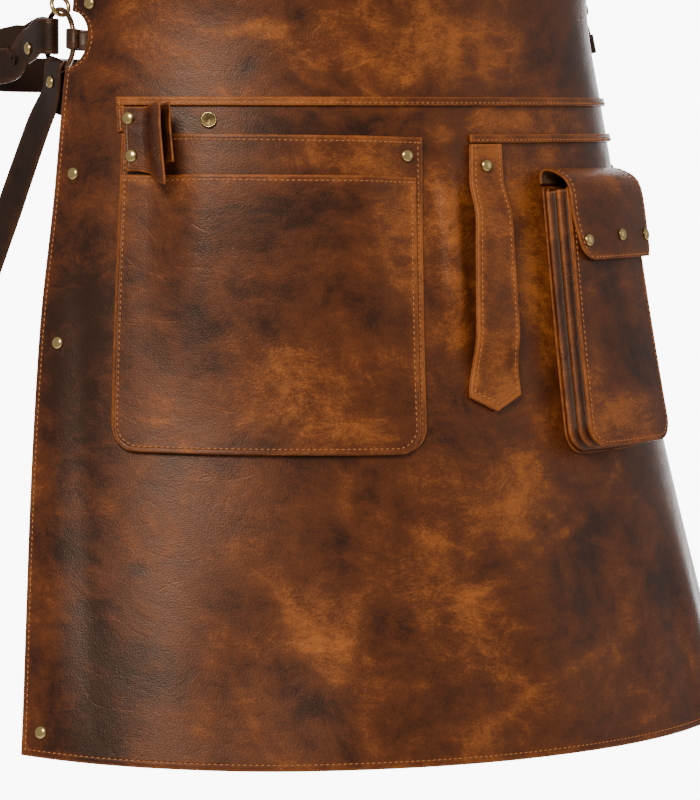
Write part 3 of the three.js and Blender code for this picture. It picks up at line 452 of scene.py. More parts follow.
def geometry_tree(name, inputs):
    tree = bpy.data.node_groups.new(name, "GeometryNodeTree")
    tree.interface.new_socket("Geometry", in_out="INPUT", socket_type="NodeSocketGeometry")
    for label, kind in inputs:
        tree.interface.new_socket(label, in_out="INPUT", socket_type=kind)
    tree.interface.new_socket("Geometry", in_out="OUTPUT", socket_type="NodeSocketGeometry")
    return tree, tree.nodes.new("NodeGroupInput"), tree.nodes.new("NodeGroupOutput")


def aligned(tree, axis, vector, rotation=None, pivot="AUTO"):
    node = tree.nodes.new("FunctionNodeAlignRotationToVector")
    node.axis = axis
    node.pivot_axis = pivot
    tree.links.new(vector, node.inputs["Vector"])
    if rotation is not None:
        tree.links.new(rotation, node.inputs["Rotation"])
    return node.outputs[0]


def lift_vector(tree):
    node = tree.nodes.new("GeometryNodeInputNamedAttribute")
    node.data_type = "FLOAT_VECTOR"
    node.inputs["Name"].default_value = "lift"
    return node.outputs[0]


stitch_tree, stitch_in, stitch_out = geometry_tree("stitch_row", [
    ("Pitch", "NodeSocketFloat"), ("Length", "NodeSocketFloat"), ("Width", "NodeSocketFloat"),
    ("Tilt", "NodeSocketFloat"), ("Thread", "NodeSocketMaterial"),
])
to_curve = add_node(stitch_tree, "GeometryNodeMeshToCurve", {"Mesh": stitch_in.outputs["Geometry"]})
resample = add_node(stitch_tree, "GeometryNodeResampleCurve", {"Curve": to_curve.outputs[0]}, mode="LENGTH")
stitch_tree.links.new(stitch_in.outputs["Pitch"], resample.inputs["Length"])
bead = add_node(stitch_tree, "GeometryNodeMeshUVSphere", {"Segments": 6, "Rings": 4, "Radius": 0.5})
bead_size = add_node(stitch_tree, "ShaderNodeCombineXYZ", {
    "X": stitch_in.outputs["Length"], "Y": stitch_in.outputs["Width"], "Z": stitch_in.outputs["Width"]})
bead_shape = add_node(stitch_tree, "GeometryNodeTransform",
                      {"Geometry": bead.outputs[0], "Scale": bead_size.outputs[0]})
heading = aligned(stitch_tree, "X", stitch_tree.nodes.new("GeometryNodeInputTangent").outputs[0])
heading = aligned(stitch_tree, "Z", lift_vector(stitch_tree), heading, "X")
tilt_turn = add_node(stitch_tree, "FunctionNodeAxisAngleToRotation",
                     {"Axis": (0, 0, 1), "Angle": stitch_in.outputs["Tilt"]})
slanted = add_node(stitch_tree, "FunctionNodeRotateRotation",
                   {"Rotation": heading, "Rotate By": tilt_turn.outputs[0]}, rotation_space="LOCAL")
sewn = add_node(stitch_tree, "GeometryNodeInstanceOnPoints", {
    "Points": resample.outputs[0], "Instance": bead_shape.outputs[0], "Rotation": slanted.outputs[0]})
made = add_node(stitch_tree, "GeometryNodeRealizeInstances", {"Geometry": sewn.outputs[0]})
shown = add_node(stitch_tree, "GeometryNodeSetMaterial",
                 {"Geometry": made.outputs[0], "Material": stitch_in.outputs["Thread"]})
smoothed = add_node(stitch_tree, "GeometryNodeSetShadeSmooth", {"Geometry": shown.outputs[0]})
stitch_tree.links.new(smoothed.outputs[0], stitch_out.inputs[0])


def run_tree(name, carrier, tree, values):
    """Runs a Geometry Nodes tree on a carrier and keeps its result as a plain mesh."""
    modifier = carrier.modifiers.new(name, "NODES")
    modifier.node_group = tree
    for item in tree.interface.items_tree:
        if item.in_out == "INPUT" and item.name in values:
            modifier[item.identifier] = values[item.name]
    depsgraph = bpy.context.evaluated_depsgraph_get()
    mesh = bpy.data.meshes.new_from_object(carrier.evaluated_get(depsgraph))
    bpy.data.objects.remove(carrier)
    mesh.name = name
    piece = bpy.data.objects.new(name, mesh)
    bpy.context.scene.collection.objects.link(piece)
    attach(piece, "root")
    return piece


def carrier_mesh(name, places, lifts, edges):
    """Points in millimetres, each with the outward direction there, for a tree to work on."""
    mesh = bpy.data.meshes.new(name)
    mesh.from_pydata((np.asarray(places) * MM).tolist(), edges, [])
    attribute = mesh.attributes.new("lift", "FLOAT_VECTOR", "POINT")
    attribute.data.foreach_set("vector", unit(lifts).reshape(-1).astype(np.float32))
    carrier = bpy.data.objects.new(name, mesh)
    bpy.context.scene.collection.objects.link(carrier)
    return carrier


def stitches(name, lines):
    """One object of thread from seam lines, each a pair of points and the leather's outward directions."""
    places, lifts, edges = [], [], []
    for points, normals in lines:
        start = sum(len(p) for p in places)
        places.append(points)
        lifts.append(normals)
        edges += [(start + k, start + k + 1) for k in range(len(points) - 1)]
    carrier = carrier_mesh(name, np.concatenate(places), np.concatenate(lifts), edges)
    piece = run_tree(name, carrier, stitch_tree, {
        "Pitch": stitch_pitch * MM, "Length": stitch_length * MM, "Width": stitch_width * MM,
        "Tilt": float(stitch_tilt), "Thread": thread,
    })


def seam_on_form(across, drop, stand):
    across, drop = np.broadcast_arrays(np.asarray(across, float), np.asarray(drop, float))
    stand = np.broadcast_to(stand, across.shape)
    return on_form(across, drop, stand + thread_stand), form_normal(across, drop)


# Body panel: bib and skirt cut in one piece of 2 mm hide, with a sewn edge all round and a notch at each
# side for the ring. Soft ridges stand where the hide swings between the pockets and towards the hem.
leather_thickness = 2.0

# Each ridge: its middle across, its lean, half width and rise in millimetres, then where it starts, ends and
# how long it fades, as shares of the skirt's length.
ridges = [
    (15, 2, 15, 5.5, 0.041, 0.391, 0.123),
    (-300, -30, 34, 4, 0.123, 1.07, 0.247),
    (60, 40, 70, 5, 0.597, 1.152, 0.247),
    (-150, -30, 80, -5, 0.617, 1.152, 0.267),
    (250, 20, 40, 4, 0.617, 1.152, 0.247),
]


def relief(across, drop):
    """How far the ridges lift the hide off the form."""
    total = np.zeros(np.broadcast(across, drop).shape)
    share = np.asarray(drop, float) / skirt_length
    for middle, lean, width, rise, start, end, fade in ridges:
        away = (across - middle - lean * (share - start) / (end - start)) / width
        length = ease(start, start + fade, share) * (1 - ease(end - fade, end, share))
        total += rise * length * np.clip(1 - away ** 2, 0, None) ** 2
    return total


armhole_start = -bib_height * 0.27
armhole_drops = -bib_height * np.array([1, 0.8, 0.58, 0.4, 0.27])
armhole_edges = np.array([
    bib_top_width / 2, bib_top_width * 0.56, bib_top_width * 0.69, bib_top_width * 0.88,
    float(smooth(section_drops, section_arcs, armhole_start)),
])


def half_width(drop):
    """Half the panel's width round the form, in along the armholes above the waist."""
    drop = np.asarray(drop, float)
    full = smooth(section_drops, section_arcs, drop)
    return np.where(drop < armhole_start, smooth(armhole_drops, armhole_edges, drop), full)


notch_drop = -45.0
notch_height = 42.0
notch_depth = 19.0


def cut_edge(drop):
    """Half width with the ring's notch taken out of it."""
    inside = np.clip(1 - ((drop - notch_drop) / (notch_height / 2)) ** 2, 0, None)
    return half_width(drop) - notch_depth * np.sqrt(inside)


# Lighter and darker places of the hide, charted: across, drop, half width, half height, change.
# Most are the hide's own mottling, but some are painted light. The pale stripe at 14 across, down the ridge
# between the pocket and the tool loop, is a painted highlight. The dark bands from -262 to -300 across, down
# the left edge where the panel turns away from the light, are painted shade.
panel_tones_and_painted_light = [
    (-262, -40, 30, 200, -0.06), (-275, 260, 34, 330, -0.16), (-60, -30, 90, 26, 0.04),
    (26, -36, 60, 24, 0.1), (-118, -51, 26, 10, 0.13), (-143, -2, 34, 12, 0.06),
    (-200, -20, 40, 40, -0.04), (190, -30, 70, 60, -0.06), (14, 112, 12, 90, 0.16),
    (0, 235, 22, 40, -0.1), (85, 110, 22, 70, 0.06), (55, 300, 30, 26, 0.1),
    (-69, 286, 60, 14, 0.06), (-129, 385, 34, 36, 0.13), (-218, 395, 22, 34, 0.08),
    (136, 424, 34, 26, 0.12), (-180, 455, 60, 14, 0.06), (-234, 424, 30, 24, -0.1),
    (-56, 383, 30, 26, -0.09), (-29, 441, 32, 20, -0.1), (114, 327, 30, 30, -0.12),
    (-120, 440, 40, 16, -0.08), (211, 370, 40, 60, -0.1), (-250, 306, 30, 30, -0.06),
    (-300, 380, 20, 120, -0.14), (100, 15, 120, 12, 0.06), (240, 200, 60, 200, -0.05),
    (-115, 150, 130, 140, -0.1),
]

# Pull lines: long creases where the hide has been folded or has stretched, as (across, drop) points with a
# half width and a change of tone.
pull_lines = [
    ([(171, 281), (139, 307), (57, 344), (-7, 369)], 4.5, 0.2),
    ([(117, 414), (64, 429), (24, 451), (-19, 478)], 5.5, 0.19),
    ([(262, 315), (195, 354), (154, 390), (133, 415)], 4.5, 0.15),
    ([(-267, 297), (-241, 338), (-209, 373), (-173, 398)], 6.5, 0.15),
    ([(-188, 417), (-172, 467)], 4.5, 0.13),
    ([(-153, 348), (-131, 380), (-88, 410)], 8.0, 0.13),
    ([(238, 439), (195, 461), (161, 470)], 4.5, 0.15),
    ([(-74, 298), (-33, 319), (9, 337)], 5.0, 0.14),
    ([(-147, -49), (-117, -60), (-100, -53)], 4.0, 0.12),
    ([(-163, -6), (-139, -9), (-130, 0)], 4.0, 0.12),
    ([(-90, -70), (-40, -30), (-12, -12)], 5.0, 0.09),
    ([(120, -60), (60, -22), (20, -8)], 5.0, 0.09),
]


def pulled(across, drop):
    """The change of tone along the pull lines."""
    total = np.zeros(np.broadcast(across, drop).shape)
    for points, wide, change in pull_lines:
        best = np.full(total.shape, np.inf)
        for (ax, ay), (bx, by) in zip(points, points[1:]):
            length = (bx - ax) ** 2 + (by - ay) ** 2
            share = np.clip(((across - ax) * (bx - ax) + (drop - ay) * (by - ay)) / length, 0, 1)
            gap = np.hypot(across - ax - share * (bx - ax), drop - ay - share * (by - ay))
            best = np.minimum(best, gap)
        ripple = 0.75 + 0.25 * np.sin(across * 0.21) * np.cos(drop * 0.17)
        total += change * ripple * np.exp(-(best / wide) ** 2)
    return total


chart_strength = 1.2


def tone_of(chart, across, drop, base=plain_tone):
    """The tone at each point: a plain base with the chart's soft patches on it."""
    total = np.full(np.broadcast(across, drop).shape, base)
    for middle, level, wide, tall, change in chart:
        away = ((across - middle) / wide) ** 2 + ((drop - level) / tall) ** 2
        total += chart_strength * change * np.exp(-away)
    return total


notch_rows_top = -72.0
notch_rows_bottom = -18.0
panel_drops = np.concatenate([
    np.linspace(-bib_height, notch_rows_top, 62)[:-1], np.linspace(notch_rows_top, notch_rows_bottom, 49)[:-1],
    np.linspace(notch_rows_bottom, skirt_length, 126),
])
panel_shares = np.linspace(-1, 1, 181)
panel_drop = panel_drops[:, None] + 0 * panel_shares[None, :]
panel_across = cut_edge(panel_drops)[:, None] * panel_shares[None, :]
panel_normals = form_normal(panel_across, panel_drop)
panel_inner_stand = relief(panel_across, panel_drop) - leather_thickness
body_panel = leather_piece(
    "body_panel", form_point(panel_across, panel_drop) + panel_normals * panel_inner_stand[..., None],
    panel_normals, leather_thickness, np.stack([panel_across, -panel_drop], -1),
    tone=tone_of(panel_tones_and_painted_light, panel_across, panel_drop) + pulled(panel_across, panel_drop),
    material=panel_hide)
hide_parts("body_panel")

edge_seam = 4.6


def edge_line(side, drops):
    across = side * (cut_edge(drops) - edge_seam)
    return seam_on_form(across, drops, relief(across, drops))


side_drops = np.concatenate([
    np.linspace(5 - bib_height, notch_rows_top, 50), np.linspace(-70, -20, 60),
    np.linspace(notch_rows_bottom, skirt_length - 5, 90),
])
hem_across = np.linspace(edge_seam - hem_width / 2, hem_width / 2 - edge_seam, 120)
hem_seam_drop = skirt_length - edge_seam
top_across = np.linspace(edge_seam - bib_top_width / 2, bib_top_width / 2 - edge_seam, 60)
stitches("panel_stitching", [
    edge_line(-1, side_drops), edge_line(1, side_drops),
    seam_on_form(hem_across, hem_seam_drop, relief(hem_across, hem_seam_drop)),
    seam_on_form(top_across, -bib_height + edge_seam, 0),
])

# Welts: a folded strip sewn along the waist and down beside the pockets, and a second one along the hip. The
# fold is at the top, and the stitches run below it.
seam_gap = 0.4
welt_width = 6.5
welt_thickness = 2.6
waist_welt_left = -236.5
waist_welt_right = waist_width / 2 - 18
waist_welt_top = -2.0
hip_welt_left = 38.0
hip_welt_right = waist_welt_right - 4
hip_welt_top = 26.0
rear_pocket_top = 25.0


def patch(name, left, right, rows, columns, stand, thickness, slant=None, tone=plain_tone, offset=(0, 0),
          round_by=0.7):
    """A flat-cut piece laid on the form. left, right, stand and slant are functions, as the sizes of a
    pattern are: of the drop, or of the share across and the drop."""
    share = np.linspace(0, 1, columns + 1)[None, :]
    drop = np.asarray(rows, float)[:, None] + 0 * share
    across = left(drop) + (right(drop) - left(drop)) * share + 0 * drop
    if slant is not None:
        drop = drop + slant(share, drop)
    normals = form_normal(across, drop)
    inner = form_point(across, drop) + normals * np.broadcast_to(stand(across, drop), drop.shape)[..., None]
    normals = surface_normals(inner, normals)
    return leather_piece(name, inner, normals, thickness, np.stack([across, -drop], -1), tone=tone,
                         offset=offset, round_by=round_by)


def surface_normals(grid, like):
    """The grid's own outward directions, on the side that like is on."""
    down = np.gradient(grid, axis=0)
    side = np.gradient(grid, axis=1)
    normals = unit(np.cross(down, side))
    facing = np.sign(np.sum(normals * like))
    return normals * (facing if facing else 1)


def rounded_rows(top, bottom, radius, count, corner_count=9):
    """Levels of a piece's rows, closer together down its rounded bottom corners."""
    corner = bottom - radius + radius * np.sin(np.linspace(0, np.pi / 2, corner_count + 1)[1:])
    return np.concatenate([np.linspace(top, bottom - radius, count + 1), corner])


def corner_inset(drop, bottom, radius):
    """How far a rounded bottom corner has come in at a drop."""
    into = np.clip(drop - (bottom - radius), 0, radius)
    return radius - np.sqrt(radius * radius - into * into)


welts = [
    ("waist_welt", waist_welt_left, waist_welt_right, waist_welt_top, waist_welt_top + welt_width, 7, 200, 0.52,
     (40, 900)),
    ("waist_welt_leg", waist_welt_left, waist_welt_left + welt_width, waist_welt_top + welt_width,
     rear_pocket_top - 1, 14, 6, 0.52, (0, 950)),
    ("hip_welt", hip_welt_left, hip_welt_right, hip_welt_top, hip_welt_top + welt_width, 7, 100, 0.54,
     (300, 700)),
]
for name, left, right, top, bottom, rows, columns, tone, offset in welts:
    welt = patch(name, lambda d, x=left: x, lambda d, x=right: x, np.linspace(top, bottom, rows), columns,
                 lambda a, d: seam_gap, welt_thickness, tone=tone, offset=offset, round_by=0.5)
    if name != "waist_welt_leg":
        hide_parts(name)
welt_face = seam_gap + welt_thickness
welt_seam = 4.6
waist_seam_across = np.linspace(waist_welt_left + 3, waist_welt_right - 3, 150)
hip_seam_across = np.linspace(hip_welt_left + 3, hip_welt_right - 3, 80)
leg_seam_drops = np.linspace(waist_welt_top + 6, rear_pocket_top - 3, 12)
stitches("welt_stitching", [
    seam_on_form(waist_seam_across, waist_welt_top + welt_seam, welt_face),
    seam_on_form(hip_seam_across, hip_welt_top + welt_seam, welt_face),
    seam_on_form(waist_welt_left + 3.2, leg_seam_drops, welt_face),
])

# Patch pockets: two pieces of 1.8 mm hide, the rear one sewn to the panel and the front one over it. The
# mouths stand a little open, and the bottom corners are cut round.
pocket_leather = 1.8
pocket_fullness = 5.4
pocket_bottom = 260.0
pocket_corner = 18.0
front_pocket_top = 56.0
pocket_seam = 4.2


def pocket_side(across, lean, top):
    """A straight side of a pocket, from its place across at the mouth and its lean for each millimetre down."""
    return lambda drop: across - lean * (drop - top)


rear_left = pocket_side(-233.5, 0.112, rear_pocket_top)
rear_right = pocket_side(-4, 0.072, rear_pocket_top)
front_left = pocket_side(-235.5, 0.112, front_pocket_top)
front_right = pocket_side(-12.8, 0.066, front_pocket_top)


def fullness(across, drop, left, right, top, bottom):
    """How far a pocket stands out, most at its open mouth."""
    share = (across - left) / (right - left)
    sides = ease(0.09, 0.3, share) * (1 - ease(0.76, 1, share))
    return pocket_fullness * sides * (1 - ease(top + 20, bottom - 10, drop))


rear_bottom = pocket_bottom - 3


def rear_stand(across, drop):
    return seam_gap + fullness(across, drop, rear_left(drop), rear_right(drop), rear_pocket_top, rear_bottom)


def front_stand(across, drop):
    own = fullness(across, drop, front_left(drop), front_right(drop), front_pocket_top, pocket_bottom)
    return rear_stand(across, drop) + pocket_leather + seam_gap + own


pocket_tones = [
    (-30, 100, 30, 60, 0.16), (-40, 200, 30, 50, 0.08), (-130, 80, 60, 24, -0.16), (-150, 140, 60, 50, -0.12),
    (-120, 195, 50, 34, 0.12), (-190, 235, 40, 20, 0.1), (-80, 240, 60, 16, 0.14), (-70, 120, 30, 30, 0.1),
    (-190, 70, 30, 10, 0.08), (-110, 45, 60, 8, 0.14), (-60, 150, 24, 40, -0.02),
]


def pocket_tone(rows, left, right, columns, base):
    share = np.linspace(0, 1, columns + 1)[None, :]
    drop = np.asarray(rows)[:, None] + 0 * share
    return tone_of(pocket_tones, left(drop) + (right(drop) - left(drop)) * share, drop, base)


def seam_of_pocket(left, right, top, bottom, radius, seam, face, slant, top_too=True):
    """The U of a pocket's seam, and its top hem."""
    low = bottom - seam
    r = radius - seam * 0.5
    down = np.linspace(top + seam, low - r, 60)
    turn = np.linspace(0, np.pi / 2, 12)[1:]
    corner_drop = low - r + r * np.sin(turn)
    inset = r * (1 - np.cos(turn))
    left_drop = np.concatenate([down, corner_drop])
    left_across = left(left_drop) + seam + np.concatenate([0 * down, inset])
    right_across = right(left_drop) - seam - np.concatenate([0 * down, inset])
    bottom_across = np.linspace(left_across[-1], right_across[-1], 70)
    across = np.concatenate([left_across, bottom_across[1:-1], right_across[::-1]])
    drop = np.concatenate([left_drop, np.full(68, low), left_drop[::-1]])
    share = (across - left(drop)) / (right(drop) - left(drop))
    lines = [seam_on_form(across, drop + slant * share, face(across, drop + slant * share))]
    if top_too:
        hem = np.linspace(left(np.array(top)) + seam * 0.6, right(np.array(top)) - seam * 0.6, 80)
        share = (hem - left(top)) / (right(top) - left(top))
        hem_drop = top + seam + slant * share
        lines.append(seam_on_form(hem, hem_drop, face(hem, hem_drop)))
    return lines


pocket_columns = 72


def patch_pocket(name, left, right, top, bottom, stand, slant, tone, offset):
    rows = rounded_rows(top, bottom, pocket_corner, 60)
    piece = patch(name, lambda d: left(d) + corner_inset(d, bottom, pocket_corner),
                  lambda d: right(d) - corner_inset(d, bottom, pocket_corner), rows, pocket_columns, stand,
                  pocket_leather, slant=lambda share, d: slant * share,
                  tone=pocket_tone(rows, left, right, pocket_columns, tone), offset=offset)
    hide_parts(name)
    return seam_of_pocket(left, right, top, bottom, pocket_corner, pocket_seam,
                          lambda a, d: stand(a, d) + pocket_leather, slant)


rear_seam = patch_pocket("rear_pocket", rear_left, rear_right, rear_pocket_top, rear_bottom, rear_stand, 3, 0.5,
                         (620, 310))
front_seam = patch_pocket("front_pocket", front_left, front_right, front_pocket_top, pocket_bottom, front_stand,
                          2, 0.46, (1240, 520))
stitches("pocket_stitching", rear_seam + front_seam)

# Snap tabs: two narrow closure straps, riveted flat at the left of the pocket mouths. They hang open, so
# each bends out from its root and shows its edge.
tab_leather = 1.6
tab_root_left = -230.0
tab_root_top = waist_welt_top + welt_width + 1
tab_root_bottom = front_pocket_top - 2
tab_seat = 3.2
back_tab_bottom = 48.0

# Across a tab from its root to its free edge: distance from the root, how far it stands out, and how much
# lower its foot lies.
tab_out = np.array([0, 9, 16, 20, 24, 28, 34.0])
tab_stand = np.array([0, 0, 0.2, 3, 10, 19, 28.0])
tab_lower = np.array([0, 0, 1, 3, 7, 11, 14.0])


def over_pocket(drop):
    return ease(rear_pocket_top - 14, rear_pocket_top - 1, drop)


def tab_seat_stand(drop):
    return seam_gap + tab_seat * over_pocket(drop)


def snap_tab(name, shift, lift, stretch, bottom, foot_slope, tone, offset):
    knots = np.arange(7.0)
    fine = np.linspace(0, 6, 37)
    across_line = tab_root_left + smooth(knots, tab_out + np.where(tab_stand > 0, shift, 0), fine)
    stand_line = np.clip(smooth(knots, tab_stand * stretch, fine), 0, None)
    lower_line = bottom + smooth(knots, tab_lower, fine) * foot_slope
    share = np.linspace(0, 1, 15)[:, None]
    drop = tab_root_top + (lower_line[None, :] - tab_root_top) * share
    across = across_line[None, :] + 0 * share
    pocket_below = fullness(across, np.maximum(drop, rear_pocket_top), rear_left(drop), rear_right(drop),
                            rear_pocket_top, rear_bottom)
    seat = tab_seat_stand(drop) + pocket_below * over_pocket(drop)
    middle = on_form(across, drop, seat + lift + tab_leather / 2 + stand_line[None, :])
    normals = surface_normals(middle, form_normal(across, drop))
    along = np.concatenate([[0], np.cumsum(np.hypot(np.diff(across_line), np.diff(stand_line)))])
    flat = np.stack([along[None, :] + 0 * share, -drop], -1)
    piece = leather_piece(name, middle - normals * tab_leather / 2, normals, tab_leather, flat,
                          tone=tone, offset=offset)
    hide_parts(name)


snap_tab("snap_tab_backing", 6, 0, 0.92, back_tab_bottom, 0.2, 0.34, (60, 1500))
snap_tab("snap_tab", 0, tab_leather + seam_gap, 1, tab_root_bottom, 1, 0.3, (160, 1400))

# Tool loop: two layers sewn together round the edge, hung from the hip welt. It bows off the panel in the
# middle, widens at the foot and ends in a shallow point.
loop_layer = 2.15
loop_thickness = 4.4
loop_stand_off = 8.2
loop_top = hip_welt_top + welt_width + 1
loop_bottom = 222.0
loop_chevron = 11.0


def loop_left(drop):
    return 37 - 0.085 * (drop - loop_top) - 2 * ease(loop_bottom - 26, loop_bottom - 4, drop)


def loop_right(drop):
    return 66 - 0.02 * (drop - loop_top) + 3 * ease(loop_bottom - 40, loop_bottom - 4, drop)


def loop_stand(drop):
    return seam_gap + 0.2 + loop_stand_off * ease(loop_top + 25, loop_top + 58, drop) * (
        1 - ease(loop_bottom - 50, loop_bottom - 12, drop))


def loop_slant(share, drop):
    return loop_chevron * (1 - np.abs(2 * share - 1)) * ease(loop_bottom - 28, loop_bottom, drop)


loop_layers = [("tool_loop_backing", 0, 0.45, 900), ("tool_loop", loop_thickness - loop_layer, 0.66, 990)]
for name, lift, tone, offset in loop_layers:
    loop_piece = patch(name, loop_left, loop_right, np.linspace(loop_top, loop_bottom, 90), 20,
                       lambda a, d, lift=lift: loop_stand(d) + lift, loop_layer, slant=loop_slant, tone=tone,
                       offset=(offset, 1300), round_by=0.9)
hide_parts("tool_loop")
loop_drops = np.linspace(loop_top + 2, loop_bottom - 5, 70)
loop_seam = 3.6
foot_share = np.linspace(0, 1, 16)
foot_drop = loop_bottom - 4.4 + (loop_chevron - 1) * (1 - np.abs(2 * foot_share - 1))
foot_across = loop_left(loop_bottom) + loop_seam + (
    loop_right(loop_bottom) - loop_left(loop_bottom) - 2 * loop_seam) * foot_share
stitches("tool_loop_stitching", [
    seam_on_form(loop_left(loop_drops) + loop_seam, loop_drops, loop_stand(loop_drops) + loop_thickness),
    seam_on_form(loop_right(loop_drops) - loop_seam, loop_drops, loop_stand(loop_drops) + loop_thickness),
    seam_on_form(foot_across, foot_drop, loop_stand(foot_drop) + loop_thickness),
])

# Bellows pocket: a back sewn to the panel, a gusset that folds in twice like a bellows, a front, and a flap
# sewn above it that bends over the mouth and snaps down. Gusset and front are sewn with their edges out.
cargo_leather = 1.8
cargo_depth = 27.0
cargo_top = 66.0
cargo_bottom = 268.0
cargo_left = 110.0
cargo_corner = 17.0
gusset_leather = 1.5
gusset_pleat = 4.5
front_top = 78.0
cargo_front_stand = cargo_depth - cargo_leather
cargo_tones = [
    (150, 110, 30, 30, -0.08), (170, 190, 26, 60, -0.07), (125, 150, 10, 80, 0.1), (150, 240, 30, 12, 0.18),
    (140, 70, 40, 20, 0.02), (130, 200, 14, 20, 0.08),
]


def cargo_right(drop):
    return 196 + 0.085 * (drop - cargo_top)


def cargo_patch(name, inset, top, stand, tone, offset):
    bottom = cargo_bottom - inset
    rows = rounded_rows(top, bottom, cargo_corner, 60)
    share = np.linspace(0, 1, 41)[None, :]
    drops = rows[:, None] + 0 * share
    tones = tone_of(cargo_tones, cargo_left + (cargo_right(drops) - cargo_left) * share, drops, tone)
    piece = patch(name, lambda d: cargo_left + inset + corner_inset(d, bottom, cargo_corner),
                  lambda d: cargo_right(d) - inset - corner_inset(d, bottom, cargo_corner), rows, 40,
                  lambda a, d: stand, cargo_leather, tone=tones, offset=offset)
    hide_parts(name)


cargo_patch("cargo_back", -1, cargo_top, seam_gap, 0.5, (1700, 200))
cargo_patch("cargo_front", 0, front_top, cargo_front_stand, 0.46, (2100, 1200))

# The gusset's folds from the back to the front: how far each lies inside the pocket's outline, and its share
# of the way to the front.
fold_edge = 1.5
fold_deep = fold_edge + gusset_pleat
gusset_inset = np.array([9, fold_edge, fold_deep, fold_edge, fold_deep, fold_edge, 9])
gusset_rise = np.array([0, 0, 0.27, 0.52, 0.77, 1, 1])
side_share = 0.34
corner_share = 0.08
bottom_share = 1 - 2 * (side_share + corner_share)


def cargo_outline(share, inset):
    """Points of the pocket's U, drawn in by an inset: down one side, along the bottom and up the other."""
    radius = cargo_corner - inset * 0.5
    left = cargo_left + inset
    bottom = cargo_bottom - inset
    right = cargo_right(bottom) - inset
    top = cargo_top + 4
    low = bottom - radius
    starts = np.cumsum([0, side_share, corner_share, bottom_share, corner_share])
    lengths = [side_share, corner_share, bottom_share, corner_share, side_share]
    down, turn_in, along, turn_up, up = [
        np.clip((share - start) / length, 0, 1) for start, length in zip(starts, lengths)]
    turn_in = turn_in * np.pi / 2
    turn_up = turn_up * np.pi / 2
    rising = low - (low - top) * up
    parts = [share <= end for end in starts[1:]]
    across = np.select(parts, [
        left, left + radius * (1 - np.cos(turn_in)), left + radius + (right - left - 2 * radius) * along,
        right - radius * (1 - np.sin(turn_up))], cargo_right(rising) - inset)
    drop = np.select(parts, [
        top + (low - top) * down, bottom - radius * (1 - np.sin(turn_in)), bottom,
        bottom - radius * (1 - np.cos(turn_up))], rising)
    return across, drop


gusset_low = 2 * seam_gap + cargo_leather + gusset_leather / 2
gusset_high = cargo_front_stand - seam_gap - gusset_leather / 2
gusset_folds = np.arange(7.0)
fold_at = np.linspace(0, 6, 61)
fold_inset = np.clip(smooth(gusset_folds, gusset_inset, fold_at), fold_edge - 0.1, None)
fold_share = smooth(gusset_folds, gusset_rise, fold_at)
fold_stand = np.clip(gusset_low + (gusset_high - gusset_low) * fold_share, gusset_low, gusset_high)
gusset_share = np.linspace(0, 1, 141)[:, None]
gusset_across, gusset_drop = cargo_outline(gusset_share + 0 * fold_inset,
                                           fold_inset[None, :] + 0 * gusset_share)
gusset_middle = on_form(gusset_across, gusset_drop, fold_stand[None, :] + 0 * gusset_share)
gusset_normals = surface_normals(gusset_middle, gusset_middle)
pocket_middle = (cargo_left + cargo_right(cargo_top)) / 2
pocket_centre = on_form(pocket_middle, (cargo_top + cargo_bottom) / 2, cargo_depth / 2)
if np.mean(np.sum(gusset_normals * (gusset_middle - pocket_centre), -1)) < 0:
    gusset_normals = -gusset_normals
gusset_length = 560.0
fold_run = np.concatenate([[0], np.cumsum(np.hypot(np.diff(fold_inset), np.diff(fold_stand)))])
gusset_flat = np.stack([fold_run[None, :] + 0 * gusset_share, gusset_length * gusset_share + 0 * fold_run], -1)
# The gusset's tone: pale on the outer fold ridges, where the waxed hide is bent, and dark in the deep inward
# folds, which is painted shade.
fold_depth = np.clip((fold_inset - fold_edge + 0.1) / gusset_pleat, 0, 1)
ridge_tone = 0.68
gusset_bends_and_fold_shade = ridge_tone * (1 - fold_depth)[None, :] + 0 * gusset_share
gusset = leather_piece("cargo_gusset", gusset_middle - gusset_normals * gusset_leather / 2, gusset_normals,
                       gusset_leather, gusset_flat, tone=gusset_bends_and_fold_shade, offset=(2600, 300))
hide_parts("cargo_gusset")

flap_leather = 2.0
flap_length = 126.0
flap_top = cargo_top - 11.5
flap_out = cargo_depth + seam_gap + flap_leather / 2 + 2.4
flap_corner = 14.0
flap_overhang_left = 3.0
flap_overhang_right = 9.0
flap_taper = 8.0

# Down the flap from its sewn edge, over the bend, to its free edge: drop and stand.
flap_drops = np.array([
    cargo_top - 2, flap_top + 4, flap_top, flap_top, flap_top + 3.5, flap_top + 9, flap_top + 16, flap_top + 26,
    flap_top + 44, flap_length - 12, flap_length - 3, flap_length,
])
flap_seat = seam_gap + 1.2
flap_stands = np.array([
    flap_seat, flap_seat, flap_out * 0.13, flap_out * 0.33, flap_out * 0.6, flap_out * 0.84, flap_out * 0.96,
    flap_out, flap_out, flap_out, flap_out - 0.2, flap_out - 0.4,
])
flap_at = np.linspace(0, 11, 111)
flap_line = smooth(np.arange(12.0), flap_drops, flap_at)
flap_lift = smooth(np.arange(12.0), flap_stands, flap_at)
flap_run = np.where(flap_at >= 9, flap_line, np.minimum(flap_line, flap_length - flap_corner))
flap_narrowing = flap_taper * ease(flap_top + 30, flap_length, flap_line)
flap_inset = corner_inset(flap_run, flap_length, flap_corner) + flap_narrowing
flap_share = np.linspace(0, 1, 41)[None, :]
flap_from = (cargo_left - flap_overhang_left + flap_inset)[:, None]
flap_to = (cargo_right(flap_line) + flap_overhang_right - flap_inset * 0.25)[:, None]
flap_across = flap_from + (flap_to - flap_from) * flap_share
flap_drop = flap_line[:, None] + 0 * flap_share
flap_middle = on_form(flap_across, flap_drop, flap_lift[:, None] + 0 * flap_share)
flap_normals = surface_normals(flap_middle, form_normal(flap_across, flap_drop))
